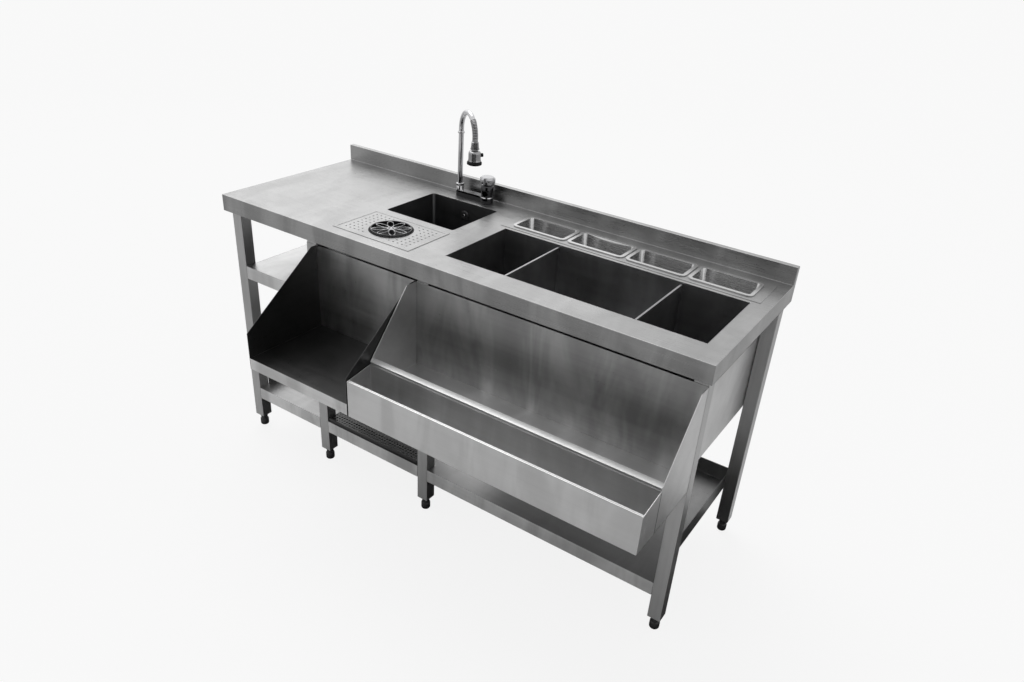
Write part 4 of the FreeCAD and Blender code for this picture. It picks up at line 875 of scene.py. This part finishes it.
class STATION_OT_shelves(bpy.types.Operator):
    """Finishes the shelves and the drainer grid"""
    bl_idname = "station.shelves"
    bl_label = "Shelves"

    def execute(self, context):
        edges = context.scene.station_edges
        dress("lower_shelf", "Lower Shelf Steel", edges.fold)
        dress("mid_shelf", "Middle Shelf Steel", edges.fold)
        self.make_drainer(context.scene.station_drainer)
        return {"FINISHED"}

    def make_drainer(self, sizes):
        """The perforated drainer, and the strip in front of it that reaches the shelf's lip."""
        lip_clearance, seam = 0.003, 0.0006
        low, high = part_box("drainer_grid")
        front = Vector((low.x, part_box("lower_shelf")[0].y + lip_clearance, low.z))
        for name, near, far, stands_for in (
                ("drainer_sheet", low, high, ("drainer_grid",)),
                ("drainer_front_strip", front, Vector((high.x, low.y - seam, high.z)), ())):
            bm = bmesh.new()
            self.perforate(bm, near, far, sizes)
            finish_piece(name, bm, "drainer", "Drainer Steel", stands_for, 35)

    def perforate(self, bm, low, high, sizes):
        """A flat sheet of round holes inside a rim, filling the box."""
        pitch, sheet, rim, recess, sides = sizes.pitch, 0.0012, 0.0015, 0.0005, 8
        size = high - low
        columns = int((size.x - 2 * rim) / pitch)
        rows = int((size.y - 2 * rim) / pitch)
        margin = Vector(((size.x - columns * pitch) / 2, (size.y - rows * pitch) / 2, 0))
        start = Vector((low.x, low.y, high.z - recess))
        middle = start + margin + Vector((pitch / 2, pitch / 2, 0))

        # One square cell: a ring of faces round the hole, its four corners and the hole's wall.
        spot = Matrix.Translation(middle) @ Matrix.Rotation(math.pi / sides, 4, "Z")
        inner = bmesh.ops.create_circle(bm, segments=sides, radius=sizes.hole / 2,
                                        matrix=spot)["verts"]
        hole_edges = edges_of(inner)
        reach = pitch / 2 / math.cos(math.pi / sides)
        outer = bmesh.ops.create_circle(bm, segments=sides, radius=reach, matrix=spot)["verts"]
        bmesh.ops.bridge_loops(bm, edges=edges_of(inner + outer))
        for x, y in ((1, 1), (-1, 1), (-1, -1), (1, -1)):
            corner = bm.verts.new(middle + Vector((x * pitch / 2, y * pitch / 2, 0)))
            near = sorted(outer, key=lambda vert: (vert.co - corner.co).length)[:2]
            bm.faces.new((corner, *near))
        walls = bmesh.ops.extrude_edge_only(bm, edges=hole_edges)["geom"]
        bmesh.ops.translate(bm, vec=(0, 0, -sheet), verts=verts_of(walls))

        cell = bm.faces[:] + bm.edges[:] + bm.verts[:]
        row = repeated(bm, cell, columns, Vector((pitch, 0, 0)))
        repeated(bm, row, rows, Vector((0, pitch, 0)))
        centre = (low + high) / 2 - Vector((0, 0, recess / 2))
        for x, y in ((0, -1), (0, 1), (-1, 0), (1, 0)):
            wide = margin.x if x else size.x
            deep = margin.y if y else size.y - 2 * margin.y
            place = centre + Vector((x * (size.x - wide) / 2, y * (size.y - deep) / 2, 0))
            bar(bm, (wide, deep, size.z - recess), Matrix.Translation(place), 0.0004)


class STATION_OT_front_unit(bpy.types.Operator):
    """Finishes the machine shelf, its cheeks and the bottle rail"""
    bl_idname = "station.front_unit"
    bl_label = "Front unit"

    def execute(self, context):
        edges = context.scene.station_edges
        dress("unit_back", "Panel Steel", edges.trim * 0.5)
        self.make_panel_return()
        dress("machine_shelf", "Bay Steel", edges.fold)
        for node in ("rail_front", "rail_rear"):
            dress(node, "Rail Steel", edges.fold)
        self.make_rail_trim()
        # The cheeks take steel painted nearly black as shade.
        for node in ("bay_wall_left", "bay_wall_right"):
            dress(node, "Cheek Steel", edges.trim * 0.7)
        return {"FINISHED"}

    def make_rail_trim(self):
        """The strip where the rails meet and the front rail's safe edge, with beads painted as
        highlights, and at their end a black strip painted as the shadow in the gap between the rails.
        """
        inset, bead, tall = 0.0017, 0.0016, 0.0006
        for name, node, wall, finish, start, deep, beads in (
                ("tier_nosing", "rail_rear", REAR_WALL, "Nosing Steel",
                 -0.0022, 0.0227, (0,)),
                ("rail_safe_edge", "rail_front", FRONT_WALL, "Safe Edge Steel",
                 0.0003, 0.0078, (0, 1))):
            low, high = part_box(node)
            long = high.x - low.x - 2 * inset
            middle = Vector(((low.x + high.x) / 2, low.y + start + deep / 2, low.z + wall))
            bm = bmesh.new()
            bar(bm, (long, deep, STRIP * 2), Matrix.Translation(middle), 0.0003)
            for side in beads:
                across = (side - 0.5) * (deep - bead)
                place = middle + Vector((0, across, tall / 2))
                bar(bm, (long, bead, STRIP * 2 + tall), Matrix.Translation(place), 0.0005)
            finish_piece(name, bm, "table", finish)

        # A black strip in the feet's rubber, painted as the shadow in the gap between the two rails'
        # ends.
        shadow_strip, shadow_strip_middle = (0.0008, 0.0022, 0.118), 0.061
        low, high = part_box("rail_front")
        bm = bmesh.new()
        bar(bm, shadow_strip, Matrix.Translation((high.x, high.y, low.z + shadow_strip_middle)), 0.0003)
        finish_piece("rail_joint_shadow_strip", bm, "table", "Foot Rubber")

    def make_panel_return(self):
        """The back panel's top edge, folded back in the spaces between the legs."""
        deep, sheet, gap = 0.015, 0.0015, 0.002
        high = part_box("unit_back")[1]
        bm = bmesh.new()
        for i in (2, 3):
            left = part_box("leg_front_%d" % i)[1].x + gap
            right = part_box("leg_front_%d" % (i + 1))[0].x - gap
            place = Matrix.Translation(((left + right) / 2, high.y + deep / 2, high.z - sheet / 2))
            bar(bm, (right - left, deep, sheet), place, 0.0004)
        finish_piece("panel_return", bm, "table", "Panel Steel")


class STATION_OT_stage(bpy.types.Operator):
    """Makes the floor, the lamps and the camera"""
    bl_idname = "station.stage"
    bl_label = "Stage"

    def execute(self, context):
        stage = context.scene.station_stage
        self.make_floor(stage)
        self.make_world()
        self.make_lamps(stage)
        self.make_cards()
        self.make_camera(stage)
        context.scene.view_settings.view_transform = "Standard"
        return {"FINISHED"}

    def make_floor(self, stage):
        """A wide pale floor, nearly white to the eye and hardly so in metal."""
        bm = bmesh.new()
        bmesh.ops.create_grid(bm, x_segments=2, y_segments=2, size=40)
        floor = add_mesh("floor", bm)
        tree = new_material("Pale Floor")[0]
        tree.nodes.clear()
        matt = tree.nodes.new("ShaderNodeBsdfDiffuse")
        matt.inputs["Color"].default_value = (*stage.floor, 1)
        white = tree.nodes.new("ShaderNodeEmission")
        mix = tree.nodes.new("ShaderNodeMixShader")
        tree.links.new(self.seen_rays(tree, 0.86, 0.10), mix.inputs[0])
        tree.links.new(matt.outputs[0], mix.inputs[1])
        tree.links.new(white.outputs[0], mix.inputs[2])
        tree.links.new(mix.outputs[0], tree.nodes.new("ShaderNodeOutputMaterial").inputs["Surface"])
        paint(floor, "Pale Floor")

    def seen_rays(self, tree, straight=1.0, mirrored=1.0):
        """How much rays from the eye count, straight or by way of a mirror or glass."""
        path = tree.nodes.new("ShaderNodeLightPath")
        bent = combined(tree, "MAXIMUM", path.outputs["Is Glossy Ray"],
                        path.outputs["Is Transmission Ray"])
        return combined(tree, "MAXIMUM", scaled(tree, path.outputs["Is Camera Ray"], straight),
                        scaled(tree, bent, mirrored))

    def make_world(self):
        """A grey room to light the station, and the white backdrop that the eye and metal see."""
        world = bpy.data.worlds.new("Studio")
        bpy.context.scene.world = world
        world.use_nodes = True
        tree = world.node_tree
        sky = next(node for node in tree.nodes if node.type == "BACKGROUND")
        room, backdrop = (0.45, 0.45, 0.45, 1), (1, 1, 1, 1)
        tree.links.new(mixed(tree, self.seen_rays(tree), room, backdrop), sky.inputs["Color"])

    def make_lamps(self, stage):
        """A softbox behind on the left, and a wide light from above."""
        softbox = bpy.data.lights.new("softbox", "AREA")
        softbox.shape = "RECTANGLE"
        softbox.size = 5.0
        softbox.size_y = 2.4
        softbox.energy = stage.softbox
        holder = add_object("softbox", softbox)
        holder.location = (-3.6, 3.4, 2.9)
        aim = Vector((0, 0, 0.8)) - holder.location
        holder.rotation_euler = aim.to_track_quat("-Z", "Y").to_euler()
        holder.visible_camera = False
        overhead = bpy.data.lights.new("overhead", "SUN")
        overhead.energy = stage.overhead
        overhead.angle = math.radians(50)
        holder = add_object("overhead", overhead)
        holder.rotation_euler = (math.radians(-18), math.radians(-34), 0)

    def make_cards(self):
        """Two black cards seen only in metal: one behind the camera, one on the floor."""
        shader = new_material("Black Card")[1]
        shader.inputs["Base Color"].default_value = (0.02, 0.02, 0.02, 1)
        shader.inputs["Roughness"].default_value = 0.9
        upright = Matrix.Rotation(math.radians(25), 4, "Z") @ Matrix.Rotation(math.pi / 2, 4, "X")
        for name, wide, tall, place in (
                ("camera_card", 3.2, 2.4, Matrix.Translation((1.4, -3.4, 1.0)) @ upright),
                ("floor_card", 2.4, 0.6, Matrix.Translation((0.3, 0.15, 0.0008)))):
            bm = bmesh.new()
            bmesh.ops.create_grid(bm, x_segments=1, y_segments=1, size=0.5)
            bmesh.ops.transform(bm, matrix=place @ Matrix.Diagonal((wide, tall, 1, 1)), verts=bm.verts)
            card = add_mesh(name, bm)
            paint(card, "Black Card")
            card.visible_camera = False
            card.visible_diffuse = False
            card.visible_shadow = False

    def make_camera(self, stage):
        """The camera, with its lens moved off the middle as in the photograph."""
        turn, tilt, roll = stage.camera_turn
        level = Vector((math.sin(turn), -math.cos(turn), 0))
        back = level * math.cos(tilt) + UP * math.sin(tilt)
        right = Vector((math.cos(turn), math.sin(turn), 0))
        top = back.cross(right)
        side = math.cos(roll) * right + math.sin(roll) * top
        head = math.cos(roll) * top - math.sin(roll) * right
        lens = bpy.data.cameras.new("camera")
        lens.sensor_width = 36
        lens.lens = stage.lens
        lens.shift_x = -0.0159
        lens.shift_y = 0.0166
        lens.clip_end = 200
        camera = add_object("camera", lens)
        turned_to = Matrix((side, head, back)).transposed().to_4x4()
        camera.matrix_world = Matrix.Translation(stage.camera_place) @ turned_to
        bpy.context.scene.camera = camera


class STATION_PT_panel(bpy.types.Panel):
    """Lists the station's pieces, sizes and colours"""
    bl_label = "Cocktail Station"
    bl_idname = "STATION_PT_panel"
    bl_space_type = "VIEW_3D"
    bl_region_type = "UI"
    bl_category = "Station"

    def draw(self, context):
        for title in SETTINGS:
            box = self.layout.box()
            settings = getattr(context.scene, title)
            for name in settings.bl_rna.properties.keys():
                if name not in ("rna_type", "name"):
                    box.prop(settings, name)
        for maker in PIECES:
            self.layout.operator(maker.bl_idname)


SETTINGS = {
    "station_finishes": StationFinishes,
    "station_edges": StationEdges,
    "station_tap": StationTap,
    "station_rinser": StationRinser,
    "station_drainer": StationDrainer,
    "station_stage": StationStage,
}
PIECES = (
    STATION_OT_worktop,
    STATION_OT_sink,
    STATION_OT_rinser,
    STATION_OT_tap,
    STATION_OT_ice_bin,
    STATION_OT_garnish_rail,
    STATION_OT_legs,
    STATION_OT_shelves,
    STATION_OT_front_unit,
    STATION_OT_stage,
)


def register():
    for kind in (*SETTINGS.values(), *PIECES, STATION_PT_panel):
        bpy.utils.register_class(kind)
    for title, kind in SETTINGS.items():
        setattr(bpy.types.Scene, title, PointerProperty(type=kind))


def unregister():
    for title in SETTINGS:
        delattr(bpy.types.Scene, title)
    for kind in reversed((*SETTINGS.values(), *PIECES, STATION_PT_panel)):
        bpy.utils.unregister_class(kind)


def main():
    register()
    make_materials(bpy.context.scene.station_finishes)
    for maker in PIECES:
        group, name = maker.bl_idname.split(".")
        getattr(getattr(bpy.ops, group), name)()


if __name__ == "__main__":
    main()
